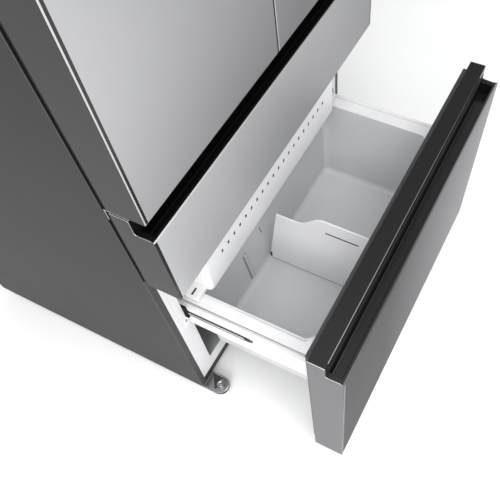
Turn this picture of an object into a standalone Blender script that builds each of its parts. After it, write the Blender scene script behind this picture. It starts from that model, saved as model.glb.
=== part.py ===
"""French door refrigerator with a chiller drawer and a bottom freezer drawer.

Metres, +Z up, the fronts face -Y and +X is on the viewer's right. The origin is on the floor,
under the middle of the box that holds the refrigerator with its freezer drawer pulled out.
Depths are measured back from the plane of the closed fronts with the function at().
"""

import math

import bmesh
import bpy

# Overall sizes
WIDTH = 0.908
HALF = WIDTH / 2
TOTAL_DEPTH = 0.860
DRAWER_OPEN = 0.358
FACE_Y = -(TOTAL_DEPTH - DRAWER_OPEN) / 2
CABINET_BOTTOM = 0.030
CABINET_TOP = 1.748
HINGE_COVER_TOP = 1.776

# Fronts: the lip is the low front edge that fingers reach behind, the crest is the high back edge
FRONT_DEPTH = 0.080
SEAL_DEPTH = 0.012
GROOVE_BACK = 0.041
LIP_DEPTH = 0.008
CREST_RISE = 0.039
LOWER_BOTTOM = 0.039
LOWER_LIP = 0.571
UPPER_BOTTOM = 0.632
UPPER_LIP = 0.831
DOOR_BOTTOM = 0.881
DOOR_TOP = 1.745
DOOR_GAP = 0.003
CAB_FRONT = FRONT_DEPTH + SEAL_DEPTH

# Sheets, walls and clearances
GAP = 0.0003
SHEET = 0.0012
SKIN = 0.001
LINER = 0.0025
FLANGE = 0.020
TRIM_BASE = 0.041
END_BLOCK = 0.0135
SEAL_INSET = 0.014
SEAL_WIDTH = 0.010
MOLDED = 0.003
THROUGH = 0.05

# Compartments inside the cabinet
FRIDGE_HALF = 0.410
FRIDGE_FLOOR = 0.925
FRIDGE_CEILING = 1.700
FRIDGE_REAR = 0.800
CHILLER_FLOOR = 0.672
CHILLER_CEILING = 0.838
CHILLER_REAR = 0.600
FREEZER_FLOOR = 0.100
FREEZER_LEDGE = 0.340
FREEZER_CEILING = 0.575
FREEZER_NARROW_HALF = 0.3825
FREEZER_WIDE_HALF = 0.418
FREEZER_REAR = 0.790
HUMP_FRONT = 0.476
HUMP_TOP = 0.370
MACHINE_FRONT = 0.530
MACHINE_TOP = 0.318
LOWER_RAIL = (0.598, 0.644)
UPPER_RAIL = (0.862, 0.902)
KICK_TOP = 0.058

# Freezer basket, its frame, tray and divider, in the drawer's open place
RIM_TOP = 0.430
BASKET_HALF = 0.342
BASKET_FLOOR = 0.150
BASKET_FRONT = -0.2295
BASKET_STEP = 0.085
BASKET_REAR = 0.360
STEP_FLOOR = 0.3815
RIM_HALF = 0.377
FRAME_INNER = 0.381
FRAME_OUTER = 0.393
FRAME_BOTTOM = 0.345
TRAY_HALF = 0.3315
TRAY_FRONT = 0.045
TRAY_REAR = 0.375
TRAY_BOTTOM = 0.4335
TRAY_TOP = 0.565
VENT_COUNT = 20
VENT_PITCH = 0.0273
DIVIDER_X = -0.030
DIVIDER_THICK = 0.003

DIVIDER_SLOT_Z = (0.3790, 0.3820)
DIVIDER_SLOT_DEPTH = (-0.200, -0.105)
VENT_Z = (0.507, 0.521)
VENT_HALF = 0.0015

# Freezer slides: the runner is a flat bar beside the basket's frame, the rail a channel on the wall
RUNNER_INNER = 0.3943
RUNNER_OUTER = 0.3970
RUNNER_LOW = 0.4030
RUNNER_HIGH = 0.4100
RUNNER_FRONT = -0.086
RUNNER_REAR = 0.330
RAIL_INNER = 0.3975
RAIL_OUTER = 0.4175
RAIL_DEPTH = (0.096, 0.620)
RAIL_Z = (0.392, 0.432)
RAIL_GROOVE = 0.005
RAIL_GROOVE_Z = (0.398, 0.415)
UPPER_RUNNER_X = (0.3880, 0.3980)
UPPER_RUNNER_DEPTH = (0.100, 0.480)
UPPER_RUNNER_Z = (0.720, 0.738)

# Hinges, feet and rollers
HINGE_OUTER = 0.452
HINGE_PLATE = 0.003
PIVOT_X = 0.441
PIVOT_DEPTH = 0.050
PIN_RADIUS = 0.006
PIN_BORE = 0.0066
FLAP_PIVOT_X = -0.048
FLAP_PIVOT_DEPTH = 0.09825
FOOT_X = 0.425
FOOT_DEPTH = 0.048
FOOT_CUP_RADIUS = 0.026
FOOT_CUP_WALL = 0.0045
FOOT_CUP_Z = (0.0180, 0.0295)
FOOT_CUP_FLOOR = 0.0215
FOOT_CUP_REAR = 0.150
FOOT_BOSS_RADIUS = 0.0105
FOOT_BOSS_TOP = 0.0330
FOOT_BORE = 0.0058
ROLLER_X = 0.380
ROLLER_DEPTH = 0.750
ROLLER_RADIUS = 0.015
ROLLER_HALF = 0.011
AXLE_RADIUS = 0.003

# Bins, shelves and small fittings
DOOR_BIN_X = (0.0635, 0.3965)
DOOR_BIN_REAR = 0.175
DOOR_BIN_HEIGHT = 0.110
DOOR_BIN_FLOORS = (("lower", 0.960), ("upper", 1.330))
DIKES_X = ((0.055, 0.063), (0.397, 0.405))
DIKE_DEPTH = 0.150
DIKE_BOTTOM = 0.940
CHILLER_BIN_HALF = 0.380
CHILLER_BIN_REAR = 0.500
CHILLER_BIN_Z = (0.680, 0.815)
CRISPER_X = (0.005, 0.395)
CRISPER_DEPTH = (0.210, 0.700)
CRISPER_Z = (0.935, 1.110)
SHELF_DEPTH = (0.200, 0.775)
SHELF_THICK = 0.005
SHELVES = (("glass_shelf", 1.360), ("crisper_cover", 1.120))
INLET_X = (0.3455, 0.3805)
INLET_Z = (0.1005, 0.1275)
INLET_FRONT = 0.832
INLET_WALL = 0.004

SIDES = (("left", -1), ("right", 1))


def at(depth):
    """World Y of a point this far behind the plane of the closed fronts."""
    return FACE_Y + depth


def clear_scene():
    for old in list(bpy.data.objects):
        bpy.data.objects.remove(old, do_unlink=True)


def new_collection(name):
    made = bpy.data.collections.new(name)
    bpy.context.scene.collection.children.link(made)
    return made


clear_scene()
PARTS = new_collection("french_door_refrigerator")
CUTTERS = new_collection("cutters")
CUTTERS.hide_render = True


def finish(name, colour, roughness, metallic=0.0):
    made = bpy.data.materials.new(name)
    made.use_nodes = True
    shader = made.node_tree.nodes["Principled BSDF"]
    shader.inputs["Base Color"].default_value = (*colour, 1.0)
    shader.inputs["Roughness"].default_value = roughness
    shader.inputs["Metallic"].default_value = metallic
    return made


STAINLESS = finish("brushed_stainless", (0.42, 0.42, 0.43), 0.32, 1.0)
DARK_STEEL = finish("painted_cabinet_steel", (0.10, 0.10, 0.10), 0.5)
BLACK_TRIM = finish("black_moulded_trim", (0.008, 0.008, 0.009), 0.35)
WHITE_LINER = finish("white_vacuum_formed_liner", (0.82, 0.83, 0.84), 0.35)
WHITE_FRAME = finish("white_coated_steel", (0.85, 0.85, 0.85), 0.3)
CLEAR_BIN = finish("clear_moulded_bin", (0.80, 0.84, 0.86), 0.1)
SEAL_GREY = finish("grey_seal_rubber", (0.05, 0.05, 0.05), 0.7)
ZINC = finish("zinc_plated_steel", (0.45, 0.45, 0.46), 0.35, 1.0)
CHROME = finish("chromed_slide", (0.75, 0.75, 0.76), 0.12, 1.0)
FOAM = finish("insulation_foam", (0.75, 0.68, 0.42), 0.9)
GLASS = finish("shelf_glass", (0.75, 0.85, 0.82), 0.05)
COMPRESSOR_PAINT = finish("black_compressor_paint", (0.02, 0.02, 0.02), 0.4)


def object_from(name, work, material, place=PARTS):
    """Turns a bmesh into an object and frees the bmesh."""
    mesh = bpy.data.meshes.new(name)
    work.to_mesh(mesh)
    work.free()
    made = bpy.data.objects.new(name, mesh)
    place.objects.link(made)
    if material is not None:
        mesh.materials.append(material)
    if place is CUTTERS:
        made.hide_render = True
        made.display_type = "WIRE"
    return made


def add_box(work, low, high):
    box = bmesh.ops.create_cube(work, size=1.0)["verts"]
    size = [top - bottom for bottom, top in zip(low, high)]
    middle = [(top + bottom) / 2 for bottom, top in zip(low, high)]
    bmesh.ops.scale(work, vec=size, verts=box)
    bmesh.ops.translate(work, vec=middle, verts=box)


def block(name, low, high, material=None, place=PARTS):
    work = bmesh.new()
    add_box(work, low, high)
    return object_from(name, work, material, place)


def rod(name, middle, radius, length, along="Z", material=None, place=PARTS, sides=24):
    """A round bar centred on middle, along X, Y or Z."""
    work = bmesh.new()
    bmesh.ops.create_cone(
        work, cap_ends=True, segments=sides, radius1=radius, radius2=radius, depth=length
    )
    made = object_from(name, work, material, place)
    made.data.shade_smooth()
    made.data.set_sharp_from_angle(angle=math.radians(40))
    made.location = middle
    if along == "X":
        made.rotation_euler = (0, math.radians(90), 0)
    elif along == "Y":
        made.rotation_euler = (math.radians(90), 0, 0)
    return made


def boolean(target, tool, operation):
    step = target.modifiers.new(operation.lower() + "_" + tool.name, "BOOLEAN")
    step.operation = operation
    step.object = tool
    step.solver = "EXACT"


def cut_box(target, low, high):
    tool = block(target.name + "_cut", low, high, place=CUTTERS)
    boolean(target, tool, "DIFFERENCE")


def join_box(target, low, high):
    tool = block(target.name + "_join", low, high, place=CUTTERS)
    boolean(target, tool, "UNION")


def cut_rod(target, middle, radius, length, along="Z"):
    tool = rod(target.name + "_bore", middle, radius, length, along, place=CUTTERS)
    boolean(target, tool, "DIFFERENCE")


def join_rod(target, middle, radius, length, along="Z"):
    tool = rod(target.name + "_boss", middle, radius, length, along, place=CUTTERS)
    boolean(target, tool, "UNION")


def section_bar(name, outline, x_low, x_high, material, place=PARTS):
    """A bar along X whose section is an outline of (depth, height) points, made a mesh."""
    curve = bpy.data.curves.new(name, "CURVE")
    curve.dimensions = "2D"
    curve.fill_mode = "BOTH"
    curve.extrude = (x_high - x_low) / 2
    line = curve.splines.new("POLY")
    line.points.add(len(outline) - 1)
    for point, (depth, height) in zip(line.points, outline):
        point.co = (at(depth), height, 0.0, 1.0)
    line.use_cyclic_u = True
    source = bpy.data.objects.new(name + "_outline", curve)
    bpy.context.scene.collection.objects.link(source)
    source.rotation_euler = (math.radians(90), 0, math.radians(90))
    source.location = ((x_low + x_high) / 2, 0, 0)
    bpy.context.view_layer.update()
    graph = bpy.context.evaluated_depsgraph_get()
    work = bmesh.new()
    solid = bpy.data.meshes.new_from_object(source.evaluated_get(graph))
    work.from_mesh(solid)
    bmesh.ops.remove_doubles(work, verts=work.verts, dist=0.00001)
    bmesh.ops.transform(work, matrix=source.matrix_world, verts=work.verts)
    bmesh.ops.recalc_face_normals(work, faces=work.faces)
    bpy.data.meshes.remove(solid)
    bpy.data.objects.remove(source, do_unlink=True)
    return object_from(name, work, material, place)


def turned(name, profile, middle, material, steps=24):
    """A round piece about Z, its profile (radius, height) running down the outer side."""
    work = bmesh.new()
    points = [work.verts.new((radius, 0, height)) for radius, height in profile]
    for first, second in zip(points, points[1:]):
        work.edges.new((first, second))
    made = object_from(name, work, material)
    made.location = middle
    screw = made.modifiers.new("turn", "SCREW")
    screw.steps = steps
    screw.render_steps = steps
    screw.use_merge_vertices = True
    screw.merge_threshold = 0.00005
    screw.use_smooth_shade = True
    return made


def pivot(name, location, *children):
    """An empty on a joint, which carries the pieces that move with it."""
    made = bpy.data.objects.new(name, None)
    PARTS.objects.link(made)
    made.location = location
    bpy.context.view_layer.update()
    for child in children:
        child.parent = made
        child.matrix_parent_inverse = made.matrix_world.inverted()
    return made


def ordered(first, second):
    return (first, second) if first < second else (second, first)


def seal_ring(name, x_low, x_high, z_low, z_high, shift=0.0):
    """A gasket frame between the back of a front and the cabinet, set in from the front's edge."""
    low = (x_low + SEAL_INSET, at(FRONT_DEPTH + GAP) - shift, z_low + SEAL_INSET)
    high = (x_high - SEAL_INSET, at(CAB_FRONT - GAP) - shift, z_high - SEAL_INSET)
    made = block(name, low, high, SEAL_GREY)
    cut_box(
        made,
        (low[0] + SEAL_WIDTH, low[1] - THROUGH, low[2] + SEAL_WIDTH),
        (high[0] - SEAL_WIDTH, high[1] + THROUGH, high[2] - SEAL_WIDTH),
    )
    return made


# ---------------------------------------------------------------- cabinet


def make_cabinet_wrapper():
    """Side walls and top folded from one sheet, with a narrow return round the front."""
    made = block(
        "cabinet_wrapper",
        (-HALF, at(CAB_FRONT), CABINET_BOTTOM),
        (HALF, at(TOTAL_DEPTH), CABINET_TOP),
        DARK_STEEL,
    )
    cut_box(
        made,
        (-HALF + SHEET, at(CAB_FRONT + SHEET), CABINET_BOTTOM - THROUGH),
        (HALF - SHEET, at(TOTAL_DEPTH + THROUGH), CABINET_TOP - SHEET),
    )
    cut_box(
        made,
        (-HALF + FLANGE, at(CAB_FRONT - THROUGH), CABINET_BOTTOM - THROUGH),
        (HALF - FLANGE, at(CAB_FRONT + SHEET + THROUGH), CABINET_TOP - FLANGE),
    )
    return made


def make_back_panels():
    inner = HALF - SHEET - GAP
    rear = (at(TOTAL_DEPTH - 0.0013), at(TOTAL_DEPTH - GAP))
    upper = block(
        "back_panel",
        (-inner, rear[0], MACHINE_TOP + GAP),
        (inner, rear[1], CABINET_TOP - SHEET - GAP),
        ZINC,
    )
    cover = block(
        "machine_cover",
        (-inner, rear[0], 0.050),
        (inner, rear[1], MACHINE_TOP - GAP),
        DARK_STEEL,
    )
    columns, rows = 4, 6
    first_x, column_pitch, slot_width = -0.33, 0.16, 0.060
    first_z, row_pitch, slot_height = 0.14, 0.016, 0.006
    work = bmesh.new()
    for column in range(columns):
        for row in range(rows):
            x = first_x + column * column_pitch
            z = first_z + row * row_pitch
            add_box(
                work,
                (x, rear[0] - THROUGH, z),
                (x + slot_width, rear[1] + THROUGH, z + slot_height),
            )
    boolean(cover, object_from("cover_louvres", work, None, CUTTERS), "DIFFERENCE")
    margin = 0.0005
    cut_box(
        cover,
        (INLET_X[0] - margin, rear[0] - THROUGH, INLET_Z[0] - margin),
        (INLET_X[1] + margin, rear[1] + THROUGH, INLET_Z[1] + margin),
    )
    return upper, cover


def make_power_inlet():
    """Three-pin appliance inlet, flush in the machine cover, with its socket open to the back."""
    made = block(
        "power_inlet",
        (INLET_X[0], at(INLET_FRONT), INLET_Z[0]),
        (INLET_X[1], at(TOTAL_DEPTH - GAP), INLET_Z[1]),
        BLACK_TRIM,
    )
    socket_front = INLET_FRONT + 2 * INLET_WALL
    cut_box(
        made,
        (INLET_X[0] + INLET_WALL, at(socket_front), INLET_Z[0] + INLET_WALL),
        (INLET_X[1] - INLET_WALL, at(TOTAL_DEPTH + THROUGH), INLET_Z[1] - INLET_WALL),
    )
    middle_x = sum(INLET_X) / 2
    middle_z = sum(INLET_Z) / 2
    pin_pitch, pin_half, pin_height, pin_length = 0.007, 0.001, 0.003, 0.015
    for count in (-1, 0, 1):
        x = middle_x + count * pin_pitch
        join_box(
            made,
            (x - pin_half, at(socket_front - 0.002), middle_z - pin_height),
            (x + pin_half, at(socket_front + pin_length), middle_z + pin_height),
        )
    return made


def make_base_deck():
    """Pressed base plate with an upturned kick rail in front and roller ears behind."""
    inner = HALF - SHEET - GAP
    kick_half = HALF - FLANGE - GAP
    made = block(
        "base_deck",
        (-inner, at(CAB_FRONT + SHEET + GAP), CABINET_BOTTOM),
        (inner, at(TOTAL_DEPTH - 0.002), CABINET_BOTTOM + 0.002),
        DARK_STEEL,
    )
    join_box(
        made,
        (-kick_half, at(CAB_FRONT), CABINET_BOTTOM),
        (kick_half, at(CAB_FRONT + 0.003), KICK_TOP),
    )
    ear_thick, ear_half_depth, ear_bottom = 0.0025, 0.012, 0.007
    for _, side in SIDES:
        for offset in (-ROLLER_HALF - ear_thick - 0.001, ROLLER_HALF + 0.001):
            x = side * ROLLER_X + offset
            join_box(
                made,
                (x, at(ROLLER_DEPTH - ear_half_depth), ear_bottom),
                (x + ear_thick, at(ROLLER_DEPTH + ear_half_depth), CABINET_BOTTOM + 0.001),
            )
        middle = (side * ROLLER_X, at(ROLLER_DEPTH), ROLLER_RADIUS)
        cut_rod(made, middle, AXLE_RADIUS + 0.0005, THROUGH, "X")
    return made


def make_roller(label, side):
    middle = (side * ROLLER_X, at(ROLLER_DEPTH), ROLLER_RADIUS)
    axle_length = 0.036
    made = rod(
        f"rear_roller_{label}", middle, ROLLER_RADIUS, 2 * ROLLER_HALF, "X", BLACK_TRIM
    )
    join_rod(made, middle, AXLE_RADIUS, axle_length, "X")
    pivot(f"roller_{label}_axis", middle, made)


def compartment_outline(name, voids, grow, front, place, material=None):
    """The union of boxes, each given as (half width, rear depth, floor, ceiling)."""
    made = None
    for half, rear, floor, ceiling in voids:
        low = (-half - grow, at(front), floor - grow)
        high = (half + grow, at(rear + grow), ceiling + grow)
        if made is None:
            made = block(name, low, high, material, place)
        else:
            join_box(made, low, high)
    return made


FRIDGE_VOIDS = ((FRIDGE_HALF, FRIDGE_REAR, FRIDGE_FLOOR, FRIDGE_CEILING),)
CHILLER_VOIDS = ((FRIDGE_HALF, CHILLER_REAR, CHILLER_FLOOR, CHILLER_CEILING),)
FREEZER_VOIDS = (
    (FREEZER_WIDE_HALF, HUMP_FRONT, FREEZER_LEDGE, FREEZER_CEILING),
    (FREEZER_WIDE_HALF, FREEZER_REAR, HUMP_TOP, FREEZER_CEILING),
    (FREEZER_NARROW_HALF, HUMP_FRONT - 0.002, FREEZER_FLOOR, FREEZER_LEDGE + 0.01),
)


def make_liner(name, voids, flange_bottom, flange_top):
    """A vacuum-formed tub: its walls follow the compartment and a flange covers the foam in front."""
    made = compartment_outline(name, voids, LINER, CAB_FRONT, PARTS, WHITE_LINER)
    flange_half = HALF - FLANGE - GAP
    join_box(
        made,
        (-flange_half, at(CAB_FRONT), flange_bottom),
        (flange_half, at(CAB_FRONT + LINER), flange_top),
    )
    inside = compartment_outline(name + "_inside", voids, 0.0, CAB_FRONT - THROUGH, CUTTERS)
    boolean(made, inside, "DIFFERENCE")
    return made


def make_foam_core():
    """Foamed-in-place insulation that fills the cabinet round the three liners."""
    inner = HALF - SHEET - GAP
    made = block(
        "foam_core",
        (-inner, at(CAB_FRONT + 0.0035), CABINET_BOTTOM + 0.0025),
        (inner, at(TOTAL_DEPTH - 0.0017), CABINET_TOP - SHEET - GAP),
        FOAM,
    )
    for label, voids in (
        ("fridge", FRIDGE_VOIDS),
        ("chiller", CHILLER_VOIDS),
        ("freezer", FREEZER_VOIDS),
    ):
        hollow = compartment_outline(
            label + "_hollow", voids, LINER + GAP, CAB_FRONT - THROUGH, CUTTERS
        )
        boolean(made, hollow, "DIFFERENCE")
    cut_box(
        made,
        (-inner + 0.004, at(MACHINE_FRONT), -THROUGH),
        (inner - 0.004, at(TOTAL_DEPTH + THROUGH), MACHINE_TOP),
    )
    return made


def make_cross_rails():
    half = HALF - FLANGE - GAP
    for name, (low, high) in (
        ("lower_cross_rail", LOWER_RAIL),
        ("upper_cross_rail", UPPER_RAIL),
    ):
        block(
            name, (-half, at(CAB_FRONT), low), (half, at(CAB_FRONT + 0.003), high), DARK_STEEL
        )


def make_feet(label, side):
    """A front foot: a rounded cup bracket with a boss in it, and a levelling screw through the boss."""
    x, y = side * FOOT_X, at(FOOT_DEPTH)
    low, high = FOOT_CUP_Z
    middle_z, height = (low + high) / 2, high - low
    bracket = rod(
        f"foot_bracket_{label}", (x, y, middle_z), FOOT_CUP_RADIUS, height, material=ZINC, sides=32
    )
    join_box(
        bracket,
        (x - FOOT_CUP_RADIUS, y, low),
        (x + FOOT_CUP_RADIUS, at(FOOT_CUP_REAR), high),
    )
    inside = FOOT_CUP_RADIUS - FOOT_CUP_WALL
    cut_rod(bracket, (x, y, FOOT_CUP_FLOOR + THROUGH / 2), inside, THROUGH)
    cut_box(
        bracket,
        (x - inside, y, FOOT_CUP_FLOOR),
        (x + inside, at(CAB_FRONT - FOOT_CUP_WALL), high + THROUGH),
    )
    boss_bottom = low + 0.001
    boss_height = FOOT_BOSS_TOP - boss_bottom
    join_rod(bracket, (x, y, boss_bottom + boss_height / 2), FOOT_BOSS_RADIUS, boss_height)
    cut_rod(bracket, (x, y, middle_z), FOOT_BORE, THROUGH)
    foot = turned(
        f"levelling_foot_{label}",
        (
            (0, 0.036),
            (0.004, 0.036),
            (0.005, 0.035),
            (0.005, 0.014),
            (0.010, 0.014),
            (0.010, 0.008),
            (0.017, 0.008),
            (0.020, 0.005),
            (0.020, 0.0),
            (0, 0.0),
        ),
        (x, y, 0.0),
        ZINC,
    )
    pivot(f"foot_{label}_axis", (x, y, 0.0), foot)


def make_hinges(label, side):
    """Top and middle hinge brackets with their pins, and the cover over the top one."""
    x = side * PIVOT_X
    y = at(PIVOT_DEPTH)
    low_x, high_x = ordered(side * HINGE_OUTER, side * 0.400)
    plate_bottom = CABINET_TOP + GAP
    top = block(
        f"top_hinge_{label}",
        (low_x, at(0.035), plate_bottom),
        (high_x, at(0.200), plate_bottom + HINGE_PLATE),
        ZINC,
    )
    pin_length = 0.024
    join_rod(top, (x, y, plate_bottom + 0.0017 - pin_length / 2), PIN_RADIUS, pin_length)
    low_x, high_x = ordered(side * HINGE_OUTER, side * 0.425)
    plate_bottom = DOOR_BOTTOM - 0.0095
    middle = block(
        f"mid_hinge_{label}",
        (low_x, at(0.038), plate_bottom),
        (high_x, at(CAB_FRONT - GAP), plate_bottom + HINGE_PLATE),
        ZINC,
    )
    low_x, high_x = ordered(side * HINGE_OUTER, side * 0.4415)
    join_box(
        middle,
        (low_x, at(CAB_FRONT - GAP - HINGE_PLATE), plate_bottom - 0.0255),
        (high_x, at(CAB_FRONT - GAP), plate_bottom + HINGE_PLATE / 2),
    )
    join_rod(middle, (x, y, DOOR_BOTTOM + 0.002), PIN_RADIUS, 0.020)
    low_x, high_x = ordered(side * (HALF - 0.0005), side * 0.380)
    front, rear = 0.012, 0.230
    cover = block(
        f"hinge_cover_{label}",
        (low_x, at(front), CABINET_TOP + GAP),
        (high_x, at(rear), HINGE_COVER_TOP),
        BLACK_TRIM,
    )
    wall = 0.001
    cut_box(
        cover,
        (low_x + wall, at(front) + wall, CABINET_TOP - THROUGH),
        (high_x - wall, at(rear) - wall, HINGE_COVER_TOP - 2 * wall),
    )


def make_slides():
    """Black fixed rails on the freezer walls and the chromed members that run out with the drawers."""
    for label, side in SIDES:
        low_x, high_x = ordered(side * RAIL_INNER, side * RAIL_OUTER)
        rail = block(
            f"lower_rail_{label}",
            (low_x, at(RAIL_DEPTH[0]), RAIL_Z[0]),
            (high_x, at(RAIL_DEPTH[1]), RAIL_Z[1]),
            BLACK_TRIM,
        )
        low_x, high_x = ordered(
            side * (RAIL_INNER - 0.001), side * (RAIL_INNER + RAIL_GROOVE)
        )
        cut_box(
            rail,
            (low_x, at(RAIL_DEPTH[0] - THROUGH), RAIL_GROOVE_Z[0]),
            (high_x, at(RAIL_DEPTH[1] + THROUGH), RAIL_GROOVE_Z[1]),
        )
        low_x, high_x = ordered(side * RUNNER_INNER, side * RUNNER_OUTER)
        runner = block(
            f"lower_slide_{label}",
            (low_x, at(RUNNER_FRONT), RUNNER_LOW),
            (high_x, at(RUNNER_REAR), RUNNER_HIGH),
            CHROME,
        )
        pivot(
            f"lower_slide_{label}_origin",
            (side * RUNNER_INNER, at(RUNNER_FRONT), RUNNER_LOW),
            runner,
        )
        low_x, high_x = ordered(side * UPPER_RUNNER_X[0], side * UPPER_RUNNER_X[1])
        upper = block(
            f"upper_slide_{label}",
            (low_x, at(UPPER_RUNNER_DEPTH[0]), UPPER_RUNNER_Z[0]),
            (high_x, at(UPPER_RUNNER_DEPTH[1]), UPPER_RUNNER_Z[1]),
            CHROME,
        )
        middle = (
            side * sum(UPPER_RUNNER_X) / 2,
            at(sum(UPPER_RUNNER_DEPTH) / 2),
            sum(UPPER_RUNNER_Z) / 2,
        )
        pivot(f"upper_slide_{label}_origin", middle, upper)


def open_bin(name, low, high):
    """A moulded bin with even walls, open at the top."""
    made = block(name, low, high, CLEAR_BIN)
    cut_box(
        made,
        tuple(value + MOLDED for value in low),
        (high[0] - MOLDED, high[1] - MOLDED, high[2] + THROUGH),
    )
    return made


def make_fridge_interior():
    """Shelf, crisper cover, crispers, duct panel and light of the fresh food compartment."""
    half = FRIDGE_HALF - 0.008
    for name, height in SHELVES:
        block(
            name,
            (-half, at(SHELF_DEPTH[0]), height),
            (half, at(SHELF_DEPTH[1]), height + SHELF_THICK),
            GLASS,
        )
    for label, side in SIDES:
        low_x, high_x = ordered(side * CRISPER_X[0], side * CRISPER_X[1])
        low = (low_x, at(CRISPER_DEPTH[0]), CRISPER_Z[0])
        high = (high_x, at(CRISPER_DEPTH[1]), CRISPER_Z[1])
        crisper = open_bin(f"crisper_{label}", low, high)
        pivot(f"crisper_{label}_origin", low, crisper)
    duct_half, lamp_half = 0.150, 0.120
    block(
        "air_duct_panel",
        (-duct_half, at(0.780), 1.140),
        (duct_half, at(FRIDGE_REAR - 0.0005), 1.690),
        WHITE_LINER,
    )
    block(
        "ceiling_light",
        (-lamp_half, at(0.300), 1.688),
        (lamp_half, at(0.340), FRIDGE_CEILING - 0.0005),
        CLEAR_BIN,
    )


def make_compressor():
    """Welded can on its base ring, standing in the machine compartment."""
    return turned(
        "compressor",
        (
            (0, 0.190),
            (0.040, 0.184),
            (0.066, 0.162),
            (0.074, 0.130),
            (0.074, 0.050),
            (0.066, 0.026),
            (0.088, 0.018),
            (0.088, 0.0),
            (0, 0.0),
        ),
        (-0.200, at(0.700), CABINET_BOTTOM + 0.0025),
        COMPRESSOR_PAINT,
    )


# ---------------------------------------------------------------- fronts


def make_drawer_front(prefix, bottom, lip, shift):
    """Steel skin, black grip trim, insulated white back and gasket of a drawer front."""
    crest = lip + CREST_RISE
    inner = HALF - SKIN
    skin = block(
        f"{prefix}_front",
        (-HALF, at(0) - shift, bottom),
        (HALF, at(FRONT_DEPTH) - shift, lip),
        STAINLESS,
    )
    join_box(
        skin,
        (-HALF, at(GROOVE_BACK) - shift, bottom),
        (HALF, at(FRONT_DEPTH) - shift, crest),
    )
    cut_box(
        skin,
        (-inner, at(SKIN) - shift, bottom + SKIN),
        (inner, at(FRONT_DEPTH + THROUGH) - shift, lip - SKIN),
    )
    cut_box(
        skin,
        (-inner, at(LIP_DEPTH) - shift, lip - 0.01),
        (inner, at(FRONT_DEPTH + THROUGH) - shift, crest + THROUGH),
    )
    trim_bottom = lip - TRIM_BASE
    trim = section_bar(
        f"{prefix}_grip_trim",
        (
            (SKIN + GAP - shift, trim_bottom),
            (FRONT_DEPTH - shift, trim_bottom),
            (FRONT_DEPTH - shift, crest),
            (GROOVE_BACK - shift, crest),
            (GROOVE_BACK - shift, trim_bottom + 0.008),
            (LIP_DEPTH + GAP - shift, trim_bottom + 0.008),
            (LIP_DEPTH + GAP - shift, lip - SKIN - GAP),
            (SKIN + GAP - shift, lip - SKIN - GAP),
        ),
        -inner + GAP,
        inner - GAP,
        BLACK_TRIM,
    )
    for _, side in SIDES:
        low_x, high_x = ordered(side * (inner - GAP - END_BLOCK), side * (inner - GAP))
        join_box(
            trim,
            (low_x, at(0.006) - shift, trim_bottom + 0.004),
            (high_x, at(GROOVE_BACK + 0.001) - shift, lip - 0.0025),
        )
    back = block(
        f"{prefix}_inner_panel",
        (-inner + GAP, at(SKIN + GAP) - shift, bottom + SKIN + GAP),
        (inner - GAP, at(FRONT_DEPTH) - shift, trim_bottom - GAP),
        WHITE_LINER,
    )
    seal = seal_ring(f"{prefix}_gasket", -HALF, HALF, bottom, crest, shift)
    return [skin, trim, back, seal]


def make_upper_drawer():
    pieces = make_drawer_front("upper_drawer", UPPER_BOTTOM, UPPER_LIP, 0.0)
    bin_ = open_bin(
        "upper_drawer_bin",
        (-CHILLER_BIN_HALF, at(FRONT_DEPTH + GAP), CHILLER_BIN_Z[0]),
        (CHILLER_BIN_HALF, at(CHILLER_BIN_REAR), CHILLER_BIN_Z[1]),
    )
    pivot("upper_drawer_origin", (0, at(0), UPPER_BOTTOM), *pieces, bin_)


def make_basket():
    """Deep white basket with a raised rear step that clears the machine compartment."""
    outer = BASKET_HALF + MOLDED
    made = block(
        "lower_basket",
        (-outer, at(BASKET_FRONT - MOLDED), BASKET_FLOOR - MOLDED),
        (outer, at(BASKET_STEP + MOLDED), RIM_TOP),
        WHITE_LINER,
    )
    join_box(
        made,
        (-outer, at(BASKET_STEP - 0.01), STEP_FLOOR - MOLDED),
        (outer, at(BASKET_REAR + MOLDED), RIM_TOP),
    )
    join_box(
        made,
        (-RIM_HALF, at(BASKET_FRONT - 0.033), RIM_TOP - MOLDED),
        (RIM_HALF, at(BASKET_REAR + 0.012), RIM_TOP),
    )
    cut_box(
        made,
        (-BASKET_HALF, at(BASKET_FRONT), BASKET_FLOOR),
        (BASKET_HALF, at(BASKET_STEP), RIM_TOP + THROUGH),
    )
    cut_box(
        made,
        (-BASKET_HALF, at(BASKET_FRONT), STEP_FLOOR),
        (BASKET_HALF, at(BASKET_REAR), RIM_TOP + THROUGH),
    )
    return made


def make_basket_frame():
    """Coated steel side rails that carry the basket, joined by a plate on the drawer front."""
    front = FRONT_DEPTH - DRAWER_OPEN + GAP
    top = RIM_TOP - MOLDED - GAP
    made = block(
        "basket_frame",
        (-FRAME_OUTER, at(front), FRAME_BOTTOM),
        (FRAME_OUTER, at(front + 0.003), top),
        WHITE_FRAME,
    )
    for _, side in SIDES:
        low_x, high_x = ordered(side * FRAME_INNER, side * FRAME_OUTER)
        join_box(made, (low_x, at(front), FRAME_BOTTOM), (high_x, at(0.105), top))
        join_box(made, (low_x, at(0.100), 0.385), (high_x, at(BASKET_REAR), top))
    return made


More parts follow.
